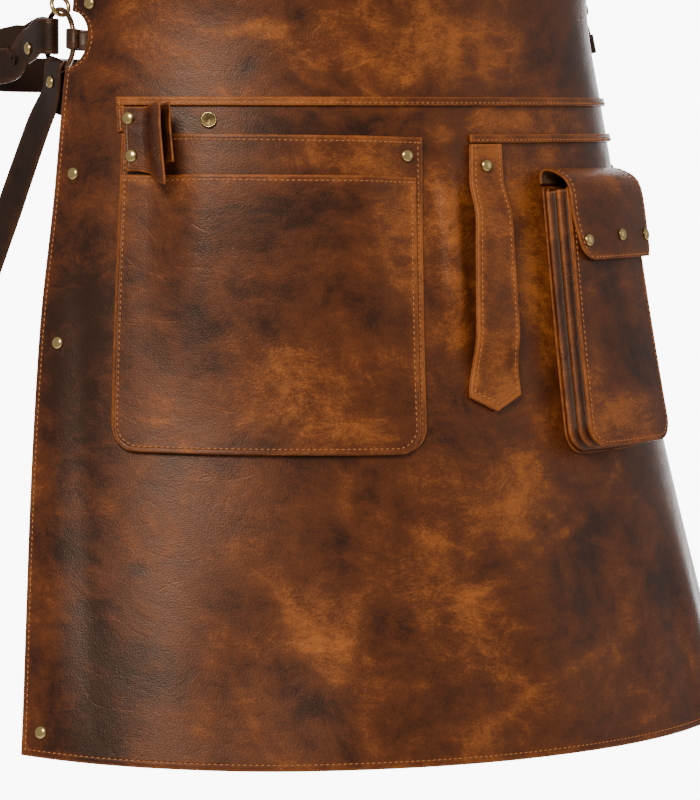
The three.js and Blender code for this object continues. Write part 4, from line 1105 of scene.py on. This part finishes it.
flap_way = np.concatenate([[0], np.cumsum(np.hypot(np.diff(flap_line), np.diff(flap_lift)))])
flap_flat = np.stack([flap_across, -flap_way[:, None] + 0 * flap_share], -1)
flap_tones = [(150, 60, 40, 10, 0.16), (160, 90, 30, 14, -0.08)]
flap = leather_piece("cargo_flap", flap_middle - flap_normals * flap_leather / 2, flap_normals, flap_leather,
                     flap_flat, tone=tone_of(flap_tones, flap_across, flap_drop, 0.48), offset=(3000, 800))
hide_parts("cargo_flap")


def flap_seam(column_share, rows):
    points = flap_middle[rows] + flap_normals[rows] * (flap_leather / 2 + 0.1)
    place = column_share * 40
    low = int(place)
    part = place - low
    return points[:, low] * (1 - part) + points[:, min(low + 1, 40)] * part, flap_normals[rows][:, low]


flap_sew = 4.0 / float(flap_to[60, 0] - flap_from[60, 0])
flap_side_rows = slice(38, 102)
flap_hem_row = -9
flap_hem_columns = slice(4, -4)
flap_hem = flap_middle[flap_hem_row] + flap_normals[flap_hem_row] * (flap_leather / 2 + 0.1)
flap_lines = [
    flap_seam(flap_sew, flap_side_rows), flap_seam(1 - flap_sew, flap_side_rows),
    (flap_hem[flap_hem_columns], flap_normals[flap_hem_row][flap_hem_columns]),
]
front_lines = seam_of_pocket(lambda d: cargo_left, cargo_right, front_top, cargo_bottom, cargo_corner, 3.6,
                             lambda a, d: cargo_front_stand + cargo_leather, 0)
back_lines = seam_of_pocket(lambda d: cargo_left - 1, lambda d: cargo_right(d) + 1, cargo_top, cargo_bottom + 1,
                            cargo_corner, 3.4, lambda a, d: seam_gap + cargo_leather + gusset_leather + 0.4, 0,
                            False)
stitches("cargo_stitching", flap_lines + front_lines + back_lines)

# Brass: solid rivet caps, snap caps and one ring snap, cast and tumbled, so that the dome is bright and the
# rim keeps a dark patina. The rings are darker bronze.
metal_wear, wear_in, wear_out = node_group(
    "metal_wear",
    [("Vector", "NodeSocketVector", (0, 0, 0)), ("Bright", "NodeSocketColor", (0.8, 0.6, 0.3, 1)),
     ("Patina", "NodeSocketColor", (0.2, 0.13, 0.06, 1)), ("Amount", "NodeSocketFloat", 0.5)],
    [("Color", "NodeSocketColor"), ("Roughness", "NodeSocketFloat"), ("Height", "NodeSocketFloat")],
)
metal_place = wear_in.outputs["Vector"]
tarnish = noise(metal_wear, metal_place, 340.0, 5.0)
scratches = noise(metal_wear, metal_place, 1500.0, 3.0)
worn = add_up(metal_wear, times(metal_wear, tarnish, 0.8), wear_in.outputs["Amount"])
worn = ramp(metal_wear, worn, 0.55, 1.15)
metal_colour = blend(metal_wear, worn, wear_in.outputs["Bright"], wear_in.outputs["Patina"])
metal_wear.links.new(metal_colour, wear_out.inputs["Color"])
metal_wear.links.new(add_up(metal_wear, 0.2, times(metal_wear, worn, 0.3)), wear_out.inputs["Roughness"])
metal_wear.links.new(times(metal_wear, scratches, 0.00003), wear_out.inputs["Height"])


def metal_material(name, bright, patina, amount):
    material = bpy.data.materials.new(name)
    material.use_nodes = True
    tree = material.node_tree
    shader = tree.nodes["Principled BSDF"]
    place = add_node(tree, "ShaderNodeTexCoord")
    group = add_node(tree, "ShaderNodeGroup", node_tree=metal_wear)
    tree.links.new(place.outputs["Object"], group.inputs["Vector"])
    group.inputs["Bright"].default_value = (*bright, 1)
    group.inputs["Patina"].default_value = (*patina, 1)
    edge = add_node(tree, "ShaderNodeAttribute", attribute_name="patina")
    tree.links.new(add_up(tree, edge.outputs["Fac"], amount), group.inputs["Amount"])
    bump = add_node(tree, "ShaderNodeBump",
                    {"Height": group.outputs["Height"], "Strength": 0.6, "Distance": 1.0})
    tree.links.new(group.outputs["Color"], shader.inputs["Base Color"])
    tree.links.new(group.outputs["Roughness"], shader.inputs["Roughness"])
    tree.links.new(bump.outputs[0], shader.inputs["Normal"])
    shader.inputs["Metallic"].default_value = 1.0
    return material


brass = metal_material("antique_brass", (0.62, 0.43, 0.17), (0.13, 0.08, 0.03), 0.1)
bronze = metal_material("dark_bronze", (0.20, 0.10, 0.05), (0.03, 0.017, 0.012), 0.25)


def spun(name, profile, patina, material, segments=36):
    """A turned shape about +Z from (radius, height) points, with a patina value at each."""
    turn = np.linspace(0, 2 * np.pi, segments, endpoint=False)
    points, values, faces, rings = [], [], [], []
    for (radius, level), value in zip(profile, patina):
        if radius < 1e-6:
            rings.append([len(points)])
            points.append((0, 0, level))
            values.append(value)
        else:
            rings.append(list(range(len(points), len(points) + segments)))
            points += [(radius * np.cos(t), radius * np.sin(t), level) for t in turn]
            values += [value] * segments
    for first, second in zip(rings, rings[1:]):
        for k in range(segments):
            m = (k + 1) % segments
            if len(first) == 1:
                faces.append((first[0], second[m], second[k]))
            elif len(second) == 1:
                faces.append((first[k], first[m], second[0]))
            else:
                faces.append((first[k], first[m], second[m], second[k]))
    piece = link_mesh(name, points, faces, material)
    attribute = piece.data.attributes.new("patina", "FLOAT", "POINT")
    attribute.data.foreach_set("value", np.array(values, np.float32))
    return piece


fit_tree, fit_in, fit_out = geometry_tree(
    "set_fittings", [("Fitting", "NodeSocketObject"), ("Metal", "NodeSocketMaterial")])
fitting = add_node(fit_tree, "GeometryNodeObjectInfo", {"Object": fit_in.outputs["Fitting"]})
spots = add_node(fit_tree, "GeometryNodeMeshToPoints", {"Mesh": fit_in.outputs["Geometry"]})
placed = add_node(fit_tree, "GeometryNodeInstanceOnPoints", {
    "Points": spots.outputs[0], "Instance": fitting.outputs["Geometry"],
    "Rotation": aligned(fit_tree, "Z", lift_vector(fit_tree))})
set_down = add_node(fit_tree, "GeometryNodeRealizeInstances", {"Geometry": placed.outputs[0]})
finished = add_node(fit_tree, "GeometryNodeSetMaterial",
                    {"Geometry": set_down.outputs[0], "Material": fit_in.outputs["Metal"]})
fit_tree.links.new(finished.outputs[0], fit_out.inputs[0])


def fittings(name, template, places, lifts, nodes):
    carrier = carrier_mesh(name, places, lifts, [])
    piece = run_tree(name, carrier, fit_tree, {"Fitting": template, "Metal": brass})
    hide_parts(*nodes)


def cap_profile(diameter, height):
    """A cap: a flat underside, a thin rim and a domed top."""
    r = diameter / 2
    rim = 0.55
    arc = np.linspace(0, np.pi / 2, 9)
    dome = [(r * 0.94 * np.cos(t), rim + (height - rim) * np.sin(t)) for t in arc]
    dome[-1] = (0.0, height)
    return [(0, 0), (r * 0.96, 0), (r, 0.18), (r, 0.42), (r * 0.96, rim)] + dome[1:]


rivet_cap = 9.6
rivet_gap = 0.35
cap_height = 2.4
cap_points = cap_profile(rivet_cap, cap_height)
cap_patina = [0.5, 0.5, 0.42, 0.3, 0.38, 0.2, 0.08, 0, 0, 0, 0, 0, 0]
cap_template = spun("cap_template", cap_points, cap_patina, brass)


def form_fittings(name, template, spots_on_form):
    """Fittings set on the form, from each one's node, across, drop and stand."""
    nodes, across, drop, stand = zip(*spots_on_form)
    across = np.array(across, float)
    drop = np.array(drop, float)
    stand = np.array([float(value) for value in stand]) + rivet_gap
    fittings(name, template, on_form(across, drop, stand), form_normal(across, drop), nodes)


edge_rivet_drops = (-72, 55, 182, skirt_length - 18)
edge_rivet_inset = 18
edge_rivet_spots = []
for label, side in (("left", -1), ("right", 1)):
    for k, drop in enumerate(edge_rivet_drops):
        across = side * (float(half_width(drop)) - edge_rivet_inset)
        edge_rivet_spots.append((f"edge_rivet_{label}_{k + 1}", across, drop, relief(across, drop)))
form_fittings("edge_rivets", cap_template, edge_rivet_spots)
form_fittings("pocket_rivets", cap_template, [
    ("snap_tab_rivet_upper", -226, 14.5, tab_seat_stand(18) + 2 * tab_leather + seam_gap),
    ("snap_tab_rivet_lower", -225, 42.5, tab_seat_stand(42.5) + 2 * tab_leather + seam_gap),
    ("pocket_rivet", -19, 42, rear_stand(-24, 42) + pocket_leather),
    ("tool_loop_rivet", 49, 50, seam_gap + 0.7 + loop_thickness),
])
flap_face = flap_out + flap_leather / 2
form_fittings("flap_snaps", cap_template, [
    ("flap_snap_1", 122, 111, flap_face), ("flap_snap_2", 163, 108, flap_face),
    ("flap_snap_3", 201, 109, flap_face),
])

# The stud is open in the middle: (radius, height) points of a 12 mm ring snap.
stud_points = [
    (0, 0), (6.0, 0), (6.0, 1.2), (5.7, 1.8), (5.3, 2.0), (4.9, 1.8), (4.7, 1.3), (4.3, 1.15), (1.6, 1.15),
    (1.3, 0.9), (0, 0.9),
]
stud_patina = [0.5, 0.4, 0.2, 0.0, 0.0, 0.1, 0.5, 0.6, 0.55, 0.6, 0.6]
stud_template = spun("stud_template", stud_points, stud_patina, brass)
form_fittings("snap_stud", stud_template, [("snap_stud", -167, 15, 0)])

# Side rings: cast bronze O rings, 50 mm across, that hang in the panel's notches and face sideways. Each is
# held by a ring tab, and carries the belt, a slack strap and a snap hook.
ring_wire = 4.0
ring_radius = 23.0
ring_set_back = 14.8
ring_turn = np.radians(88)


def tube(path, radius, closed=False, sides=12, up=(0, 0, 1)):
    """Points and faces of a round bar along a path; radius may be a value for each point."""
    path = np.asarray(path, float)
    count = len(path)
    if closed:
        heading = unit(np.roll(path, -1, 0) - np.roll(path, 1, 0))
    else:
        heading = unit(np.gradient(path, axis=0))
    first = unit(np.cross(heading, np.asarray(up, float)))
    second = np.cross(heading, first)
    radius = np.broadcast_to(radius, (count,))
    turn = np.linspace(0, 2 * np.pi, sides, endpoint=False)
    rings = path[:, None, :] + radius[:, None, None] * (
        np.cos(turn)[None, :, None] * first[:, None, :] + np.sin(turn)[None, :, None] * second[:, None, :])
    points = rings.reshape(-1, 3)
    faces = []
    for i in range(count if closed else count - 1):
        n = (i + 1) % count
        for k in range(sides):
            m = (k + 1) % sides
            faces.append((i * sides + k, i * sides + m, n * sides + m, n * sides + k))
    if not closed:
        faces.append(tuple(range(sides))[::-1])
        faces.append(tuple((count - 1) * sides + k for k in range(sides)))
    return points, faces


def metal_piece(name, parts, material):
    points, faces = [], []
    for part_points, part_faces in parts:
        start = sum(len(p) for p in points)
        points.append(part_points)
        faces += [tuple(start + v for v in face) for face in part_faces]
    piece = link_mesh(name, np.concatenate(points), faces, material)
    attribute = piece.data.attributes.new("patina", "FLOAT", "POINT")
    attribute.data.foreach_set("value", np.zeros(len(piece.data.vertices), np.float32))
    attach(piece, "root")
    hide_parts(name)


class Side:
    """The frame of one side ring: its centre, the way back and the way out."""

    def __init__(self, label, sign):
        self.label = label
        self.sign = sign
        self.edge = sign * float(half_width(notch_drop))
        self.back = np.array([sign * np.cos(ring_turn), np.sin(ring_turn), 0])
        self.outward = np.array([sign * np.sin(ring_turn), -np.cos(ring_turn), 0])
        self.centre = on_form(self.edge, notch_drop, 0) + self.back * ring_set_back


sides = [Side("left", -1), Side("right", 1)]
upward = np.array([0, 0, 1.0])
for side in sides:
    turn = np.linspace(0, 2 * np.pi, 72, endpoint=False)[:, None]
    hoop = side.centre + ring_radius * (np.cos(turn) * side.back + np.sin(turn) * upward)
    ring = tube(hoop, ring_wire / 2, True, 14, side.outward)
    metal_piece(f"side_ring_{side.label}", [ring], bronze)

# Straps: belt, slack strap, shoulder straps and the tabs that hold the rings are a heavier hide with burnished
# edges and a creased line along each edge. Their colours, flesh side too, are far darker than the panel's. This
# is partly a darker hide and partly painted shade, as the belt, slack straps and ring tabs lie in shade at the
# sides and behind the panel. They carry no stitches.
strap_dark = (0.006, 0.0021, 0.0013)
strap_body = (0.018, 0.0054, 0.0023)
strap_pale = (0.10, 0.030, 0.0085)
strap_hide_and_shade = leather_material("strap_leather", strap_dark, strap_body, strap_pale, seam=2.6, edge_rub=0.4,
                              suede_dark=(0.012, 0.005, 0.0028), suede_pale=(0.03, 0.0125, 0.0065))
strap_leather = 2.4
strap_width = 27.0
shoulder_strap_width = 30.0


def curve_through(points, at):
    """Centripetal curve through points; at counts points from 0."""
    points = np.asarray(points, float)
    ends = np.concatenate([[2 * points[0] - points[1]], points, [2 * points[-1] - points[-2]]])
    at = np.asarray(at, float)
    i = np.clip(np.floor(at + 1e-9).astype(int), 0, len(points) - 2)
    t = (at - i)[:, None]
    p0, p1, p2, p3 = ends[i], ends[i + 1], ends[i + 2], ends[i + 3]
    d0 = np.maximum(np.linalg.norm(p1 - p0, axis=-1, keepdims=True), 1e-4) ** 0.5
    d1 = np.maximum(np.linalg.norm(p2 - p1, axis=-1, keepdims=True), 1e-4) ** 0.5
    d2 = np.maximum(np.linalg.norm(p3 - p2, axis=-1, keepdims=True), 1e-4) ** 0.5
    m1 = ((p1 - p0) / d0 - (p2 - p0) / (d0 + d1) + (p2 - p1) / d1) * d1
    m2 = ((p2 - p1) / d1 - (p3 - p1) / (d1 + d2) + (p3 - p2) / d2) * d1
    return p1 + m1 * t + (3 * (p2 - p1) - 2 * m1 - m2) * t ** 2 + (2 * (p1 - p2) + m1 + m2) * t ** 3


def strap(name, route, width, tone, offset, step=3.5):
    """A strap along a route of (point, outward look) pairs."""
    points = np.array([r[0] for r in route], float)
    looks = unit(np.array([r[1] for r in route], float))
    at = [0.0]
    for k in range(len(points) - 1):
        parts = max(4, int(np.linalg.norm(points[k + 1] - points[k]) / step))
        at += list(k + np.arange(1, parts + 1) / parts)
    at = np.array(at)
    line = curve_through(points, at)
    heading = unit(np.gradient(line, axis=0))
    k = np.clip(np.floor(at + 1e-9).astype(int), 0, len(points) - 2)
    look = looks[k] + (looks[k + 1] - looks[k]) * (at - k)[:, None]
    look = unit(look - heading * np.sum(look * heading, -1, keepdims=True))
    across = unit(np.cross(look, heading))
    share = np.linspace(-0.5, 0.5, 11)
    middle = line[:, None, :] + across[:, None, :] * width * share[None, :, None]
    normals = np.repeat(look[:, None, :], len(share), 1)
    run = np.concatenate([[0], np.cumsum(np.linalg.norm(np.diff(line, axis=0), axis=-1))])
    flat = np.stack([width * share[None, :] + 0 * run[:, None], run[:, None] + 0 * share[None, :]], -1)
    piece = leather_piece(name, middle - normals * strap_leather / 2, normals, strap_leather, flat, tone=tone,
                          material=strap_hide_and_shade, offset=offset, round_by=0.9)
    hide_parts(name)


def fold_round(bar, forward, outward, gap, reach):
    """The U of a strap folded round a bar."""
    return [
        (bar + outward * gap, outward),
        (bar + outward * gap * 0.75 + forward * reach * 0.72, outward + forward * 0.9),
        (bar + forward * reach, forward),
        (bar - outward * gap * 0.75 + forward * reach * 0.72, -outward + forward * 0.9),
        (bar - outward * gap, -outward),
    ]


half_span = abs(float(sides[0].centre[0]))


def route_point(sign, row, inset=0.0):
    """A point of a route and the strap's outward look there. A row holds the point's place to the side,
    behind and below the rings' centre line, as shares of half the way between the rings, and the degrees by
    which the strap faces back."""
    share, back, down, facing = row
    angle = np.radians(facing)
    look = np.array([sign * np.cos(angle), np.sin(angle), 0])
    at = np.array([sign * share * half_span, sides[0].centre[1] + back * half_span,
                   sides[0].centre[2] - down * half_span])
    return at - look * inset, look


def beside_fold(fold, along, distance, rise):
    """A point that carries on from the end of a fold, on the same side of the strap."""
    return fold[0] + along * distance + upward * rise, fold[1]


fold_gap = ring_wire / 2 + 0.8 + strap_leather / 2
belt_route = [
    (1.055, 0.241, 0.07, -6), (1.085, 0.368, 0.09, 8), (1.02, 0.491, 0.105, 42), (0.78, 0.588, 0.11, 66),
    (0.42, 0.632, 0.114, 80), (0, 0.649, 0.114, 90),
]
belt_return_route = [(1.055, 0.241, 0, -6), (1.085, 0.368, 0.018, 8), (1.02, 0.491, 0.035, 42)]
belt_return_inset = 6.0
belt_fold = fold_gap + 3
belt_fold_rise = 3.0
belt_fold_reach = 12.0


def belt_end(side):
    wire = side.centre + side.back * ring_radius + upward * belt_fold_rise
    fold = fold_round(wire, -side.back, side.outward, belt_fold, belt_fold_reach)
    outer_leg = [beside_fold(fold[0], side.back, 26, -10), beside_fold(fold[0], side.back, 9, -4.5)]
    inner_leg = [beside_fold(fold[-1], side.back, 9, 1), beside_fold(fold[-1], side.back, 26, 2)]
    returned = []
    for row in belt_return_route:
        at, look = route_point(side.sign, row, belt_return_inset)
        returned.append((at, -look))
    return outer_leg + fold + inner_leg + returned


belt_way = (belt_end(sides[0])[::-1] + [route_point(-1, row) for row in belt_route]
            + [route_point(1, row) for row in belt_route[-2::-1]] + belt_end(sides[1]))
strap("waist_belt", belt_way, strap_width, 0.44, (200, 4000))

slack_width = 26.0
slack_angle = np.radians(10)
slack_fold_reach = 8.0
slack_route = [
    (1.035, 0.1, 0.285, -14), (1.088, 0.215, 0.557, -20), (1.13, 0.316, 0.79, -16), (1.17, 0.45, 1.06, -10),
    (1.2, 0.56, 1.26, -8),
]


def slack_heading(side):
    return side.back * np.sin(slack_angle) - upward * np.cos(slack_angle)


def slack_end(side):
    heading = slack_heading(side)
    fold = fold_round(side.centre + heading * ring_radius, -heading, side.outward, fold_gap,
                      slack_fold_reach)
    return [beside_fold(fold[0], heading, 18, 0)] + fold + [
        beside_fold(fold[-1], heading, 12, 0), beside_fold(fold[-1], heading, 34, 0)]


for side in sides:
    slack_way = slack_end(side)[::-1] + [route_point(side.sign, row) for row in slack_route]
    strap(f"slack_strap_{side.label}", slack_way, slack_width, 0.42, (500 + 60 * side.sign, 4000))

# Ring tabs: a short strap of the dark hide, folded round the front of each ring. Both its ends lie against
# the panel's inner face, where they are sewn on.
ring_tab_height = 15.0
ring_tab_leather = 1.6
ring_tab_reach = 38.0
wire_slack = 2.1
wire_room = 0.95
form_radius_at_ring = 130.0
wrap_radius = ring_wire / 2 + wire_room + ring_tab_leather / 2
wrap_angles = np.radians([-30, 0, 40, 90, 140, 180])
tab_inner = -leather_thickness - seam_gap - ring_tab_leather / 2 - 0.2
tab_outer = tab_inner - ring_tab_leather - seam_gap
for side in sides:
    edge_point = on_form(side.edge, notch_drop, 0)
    edge_normal = form_normal(side.edge, notch_drop)
    inward = unit(on_form(side.edge - side.sign, notch_drop, 0) - edge_point)
    wire = side.centre - side.back * ring_radius - edge_point
    wire_in = float(wire @ inward)
    wire_stand = float(wire @ edge_normal) + wire_in * wire_in / form_radius_at_ring / 2

    # The tab's section, as (distance in from the edge, stand, 0): out from under the panel, round the wire
    # and back.
    bend = [(ring_tab_reach, tab_inner, 0), (wire_in + wrap_radius + 5, tab_inner, 0)]
    for angle in wrap_angles:
        slack = wire_slack if angle > np.pi / 2 + 0.01 else 0
        bend.append((wire_in + wrap_radius * np.cos(angle) - slack,
                     wire_stand + wrap_radius * np.sin(angle), 0))
    bend += [(wire_in - wrap_radius - wire_slack + 0.6, tab_outer + 3, 0), (wire_in + 1, tab_outer, 0),
             (ring_tab_reach, tab_outer, 0)]
    bend_line = curve_through(bend, np.linspace(0, len(bend) - 1, 81))
    tab_drops = np.linspace(notch_drop - ring_tab_height / 2, notch_drop + ring_tab_height / 2, 9)[:, None]
    tab_in = bend_line[None, :, 0] + 0 * tab_drops
    tab_middle = on_form(side.edge - side.sign * tab_in, tab_drops + 0 * tab_in,
                         bend_line[None, :, 1] + 0 * tab_drops)
    tab_normals = surface_normals(tab_middle, form_normal(side.edge, notch_drop))
    if tab_normals[4, 4] @ edge_normal < 0:
        tab_normals = -tab_normals
    tab_run = np.concatenate([[0], np.cumsum(np.linalg.norm(np.diff(bend_line, axis=0), axis=-1))])
    tab_flat = np.stack([tab_run[None, :] + 0 * tab_drops, tab_drops + 0 * tab_run[None, :]], -1)
    ring_tab = leather_piece(
        f"ring_tab_{side.label}", tab_middle - tab_normals * ring_tab_leather / 2, tab_normals,
        ring_tab_leather, tab_flat, tone=0.46, material=strap_hide_and_shade, offset=(700, 4300))
    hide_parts(f"ring_tab_{side.label}")

# Snap hooks: brass hooks that close through the top of each ring. A collared post swivels in the foot of
# the square eye that the shoulder strap is folded through.
hook_wire = 3.4
hook_radius = 7.6
hook_post = 14.0
eye_width = 36.0
eye_height = 12.0
eye_corner = 3.0
eye_wire = 3.2
post_levels = np.array([0, 0.6, 1.0, 3.0, 3.4, 4.4, 4.8, 9.0, 9.6, 10.6, 11.2, 14.8])
post_radii = np.array([1.6, 3.0, 3.5, 3.6, 3.0, 3.0, 3.6, 3.6, 2.9, 2.9, 3.6, 3.5])
bib_strap_inset = 22.0
bib_strap_lap = 44.0
body_half_width = 170.0
body_half_depth = 118.0
shoulder_to_waist = 460.0

# The way over the left shoulder and across the back, as shares of those three sizes, with the strap's look.
strap_over = [
    (0.60, -0.50, -0.06, (0.2, -0.75, 0.62)), (0.54, -0.24, -0.012, (0.16, -0.35, 0.92)),
    (0.50, 0, 0, (0.1, 0, 1)), (0.44, 0.34, -0.022, (0.1, 0.4, 0.9)), (0.34, 0.78, -0.135, (0.05, 0.8, 0.45)),
    (0.20, 1.0, -0.235, (0, 1, 0.12)), (0, 1.06, -0.355, (0, 1, 0)), (-0.30, 1.05, -0.46, (-0.1, 1, 0)),
    (-0.66, 1.0, -0.55, (-0.35, 1, 0)), (-1.0, 0.9, -0.62, (-0.75, 0.8, 0.05)),
]
crossing_lift = 3.2
leg_far = 34
leg_near = 12
for side in sides:
    up = unit(np.array([-side.sign * 0.38, 0.45, 1.0]))
    ring_top = side.centre + upward * ring_radius
    loop_middle = ring_top + up * (hook_radius - (ring_wire / 2 + 0.7 + hook_wire / 2))
    across_hook = unit(np.cross(up, side.back))
    facing = unit(np.cross(across_hook, up))
    turn = np.linspace(0, 2 * np.pi, 48, endpoint=False)[:, None]
    loop_path = loop_middle + hook_radius * (np.cos(turn) * across_hook + np.sin(turn) * up)
    hook_loop = tube(loop_path, hook_wire / 2, True, 12, facing)
    foot = loop_middle + up * (hook_radius - 0.5)
    post = tube(foot + post_levels[:, None] * up, post_radii, False, 20, facing)
    head = foot + up * hook_post
    eye_line = []
    for wide, high, begin in ((1, 0, -90), (1, 1, 0), (-1, 1, 90), (-1, 0, 180)):
        corner_side = wide * (eye_width / 2 - eye_corner)
        corner_level = eye_height - eye_corner if high else eye_corner
        for angle in np.radians(np.linspace(begin, begin + 90, 6)):
            eye_line.append(head + facing * (corner_side + eye_corner * np.cos(angle))
                            + up * (corner_level + eye_corner * np.sin(angle)))
    eye = tube(eye_line, eye_wire / 2, True, 10, across_hook)
    metal_piece(f"snap_hook_{side.label}", [hook_loop, post, eye], brass)

    corner_across = -side.sign * (bib_top_width / 2 - bib_strap_inset)
    route = []
    for lap in (bib_strap_lap, bib_strap_lap / 2, -4):
        lift = seam_gap + strap_leather / 2 + (0.9 if lap < 0 else 0)
        lap_drop = lap - bib_height
        route.append((on_form(corner_across, lap_drop, lift), form_normal(corner_across, lap_drop)))
    cross_lift = crossing_lift if side.sign < 0 else 0
    for x, y, z, look in strap_over:
        look = unit(np.array([-side.sign * look[0], look[1], look[2]]))
        at = np.array([-side.sign * x * body_half_width, y * body_half_depth, z * shoulder_to_waist])
        route.append((at + look * (strap_leather / 2 + cross_lift * float(ease(0.2, 0.9, y))), look))
    outward = across_hook if across_hook[0] * side.sign > 0 else -across_hook
    gap = eye_wire / 2 + 0.5 + strap_leather / 2
    fold = fold_round(head + up * eye_height, -up, outward, gap, gap)
    route += [(fold[0][0] + up * leg_far, outward), (fold[0][0] + up * leg_near, outward)] + fold
    route += [(fold[-1][0] + up * leg_near, -outward), (fold[-1][0] + up * leg_far, -outward)]
    strap(f"shoulder_strap_{side.label}", route, shoulder_strap_width, 0.46, (900 + 200 * side.sign, 4000))
    form_fittings(f"bib_rivets_{side.label}", cap_template, [
        (f"bib_rivet_{side.label}_{k}", corner_across, lap - bib_height, seam_gap + strap_leather)
        for k, lap in ((1, 37), (2, 21))])
    strap_rivets = [
        (side.centre + side.back * (ring_radius + 14) - upward * 6, belt_fold),
        (side.centre + slack_heading(side) * (ring_radius + 9), fold_gap),
    ]
    fittings(f"strap_rivets_{side.label}", cap_template,
             [at + side.outward * (stand + strap_leather / 2 + rivet_gap) for at, stand in strap_rivets],
             [side.outward] * 2, [f"belt_rivet_{side.label}", f"slack_rivet_{side.label}"])

# Eyelets: a small bronze one is pressed through the belt behind each ring, with its rolled rim on the outer
# face.
eyelet_points = [(2.3, 0), (3.9, 0.05), (4.1, 0.35), (3.6, 0.75), (2.7, 0.7), (2.2, 0.35), (2.2, 0)]
eyelet_template = spun("eyelet_template", eyelet_points, [0.6, 0.55, 0.4, 0.2, 0.35, 0.6, 0.7], bronze)
eyelet_places, eyelet_looks = [], []
for side in sides:
    target, look = route_point(side.sign, belt_route[0])
    eyelet_places.append(target + look * (strap_leather / 2 + 0.05) + upward * 1.5)
    eyelet_looks.append(look)
eyelets = run_tree("belt_eyelets", carrier_mesh("belt_eyelets", eyelet_places, eyelet_looks, []), fit_tree,
                   {"Fitting": eyelet_template, "Metal": bronze})
for template in (cap_template, stud_template, eyelet_template):
    bpy.data.objects.remove(template)

# Floor and light: a pale round floor well below the hem, and a studio with a bright white backdrop behind
# the apron. One large soft light stands at the front left, and a weak one fills from the right, so that the
# waxed hide takes broad highlights and falls off into shade at its right.
floor_mesh = bpy.data.meshes.new("floor")
floor_radius = 1.5
floor_level = -1.45
floor_turn = np.linspace(0, 2 * np.pi, 96, endpoint=False)
floor_rim = [(floor_radius * np.cos(t), floor_radius * np.sin(t), floor_level) for t in floor_turn]
floor_mesh.from_pydata(floor_rim, [], [tuple(range(len(floor_rim)))])
floor_paint = bpy.data.materials.new("floor_paint")
floor_paint.use_nodes = True
floor_shader = floor_paint.node_tree.nodes["Principled BSDF"]
floor_shader.inputs["Base Color"].default_value = (0.9, 0.9, 0.9, 1)
floor_shader.inputs["Roughness"].default_value = 0.9
floor_mesh.materials.append(floor_paint)
floor = bpy.data.objects.new("floor", floor_mesh)
bpy.context.scene.collection.objects.link(floor)

world = bpy.data.worlds.new("studio")
world.use_nodes = True
sky = world.node_tree
toward = add_node(sky, "ShaderNodeTexCoord").outputs["Generated"]
backdrop_way = (float(np.sin(view_angle)), float(np.cos(view_angle)), -0.07)
facing_backdrop = add_node(sky, "ShaderNodeVectorMath", {0: toward, 1: backdrop_way}, operation="DOT_PRODUCT")
backdrop = ramp(sky, facing_backdrop.outputs["Value"], 0.88, 0.975)
backdrop_light = add_up(sky, 0.42, times(sky, backdrop, 9.0))
sky.links.new(backdrop_light, sky.nodes["Background"].inputs["Strength"])
sky.nodes["Background"].inputs["Color"].default_value = (1, 1, 1, 1)
bpy.context.scene.world = world

apron_middle = Vector((0, -0.12, -0.62))
lights = [
    ("key_light", (-1.9, -2.0, 1.2), 1.1, 88),
    ("fill_light", (2.4, -1.9, 0.1), 1.8, 6),
    ("rear_light", (0.4, 2.4, 0.8), 1.6, 16),
]
for name, place, size, power in lights:
    lamp = bpy.data.lights.new(name, "AREA")
    lamp.shape = "SQUARE"
    lamp.size = size
    lamp.energy = power
    light = bpy.data.objects.new(name, lamp)
    light.location = place
    light.rotation_euler = (apron_middle - light.location).to_track_quat("-Z", "Y").to_euler()
    bpy.context.scene.collection.objects.link(light)
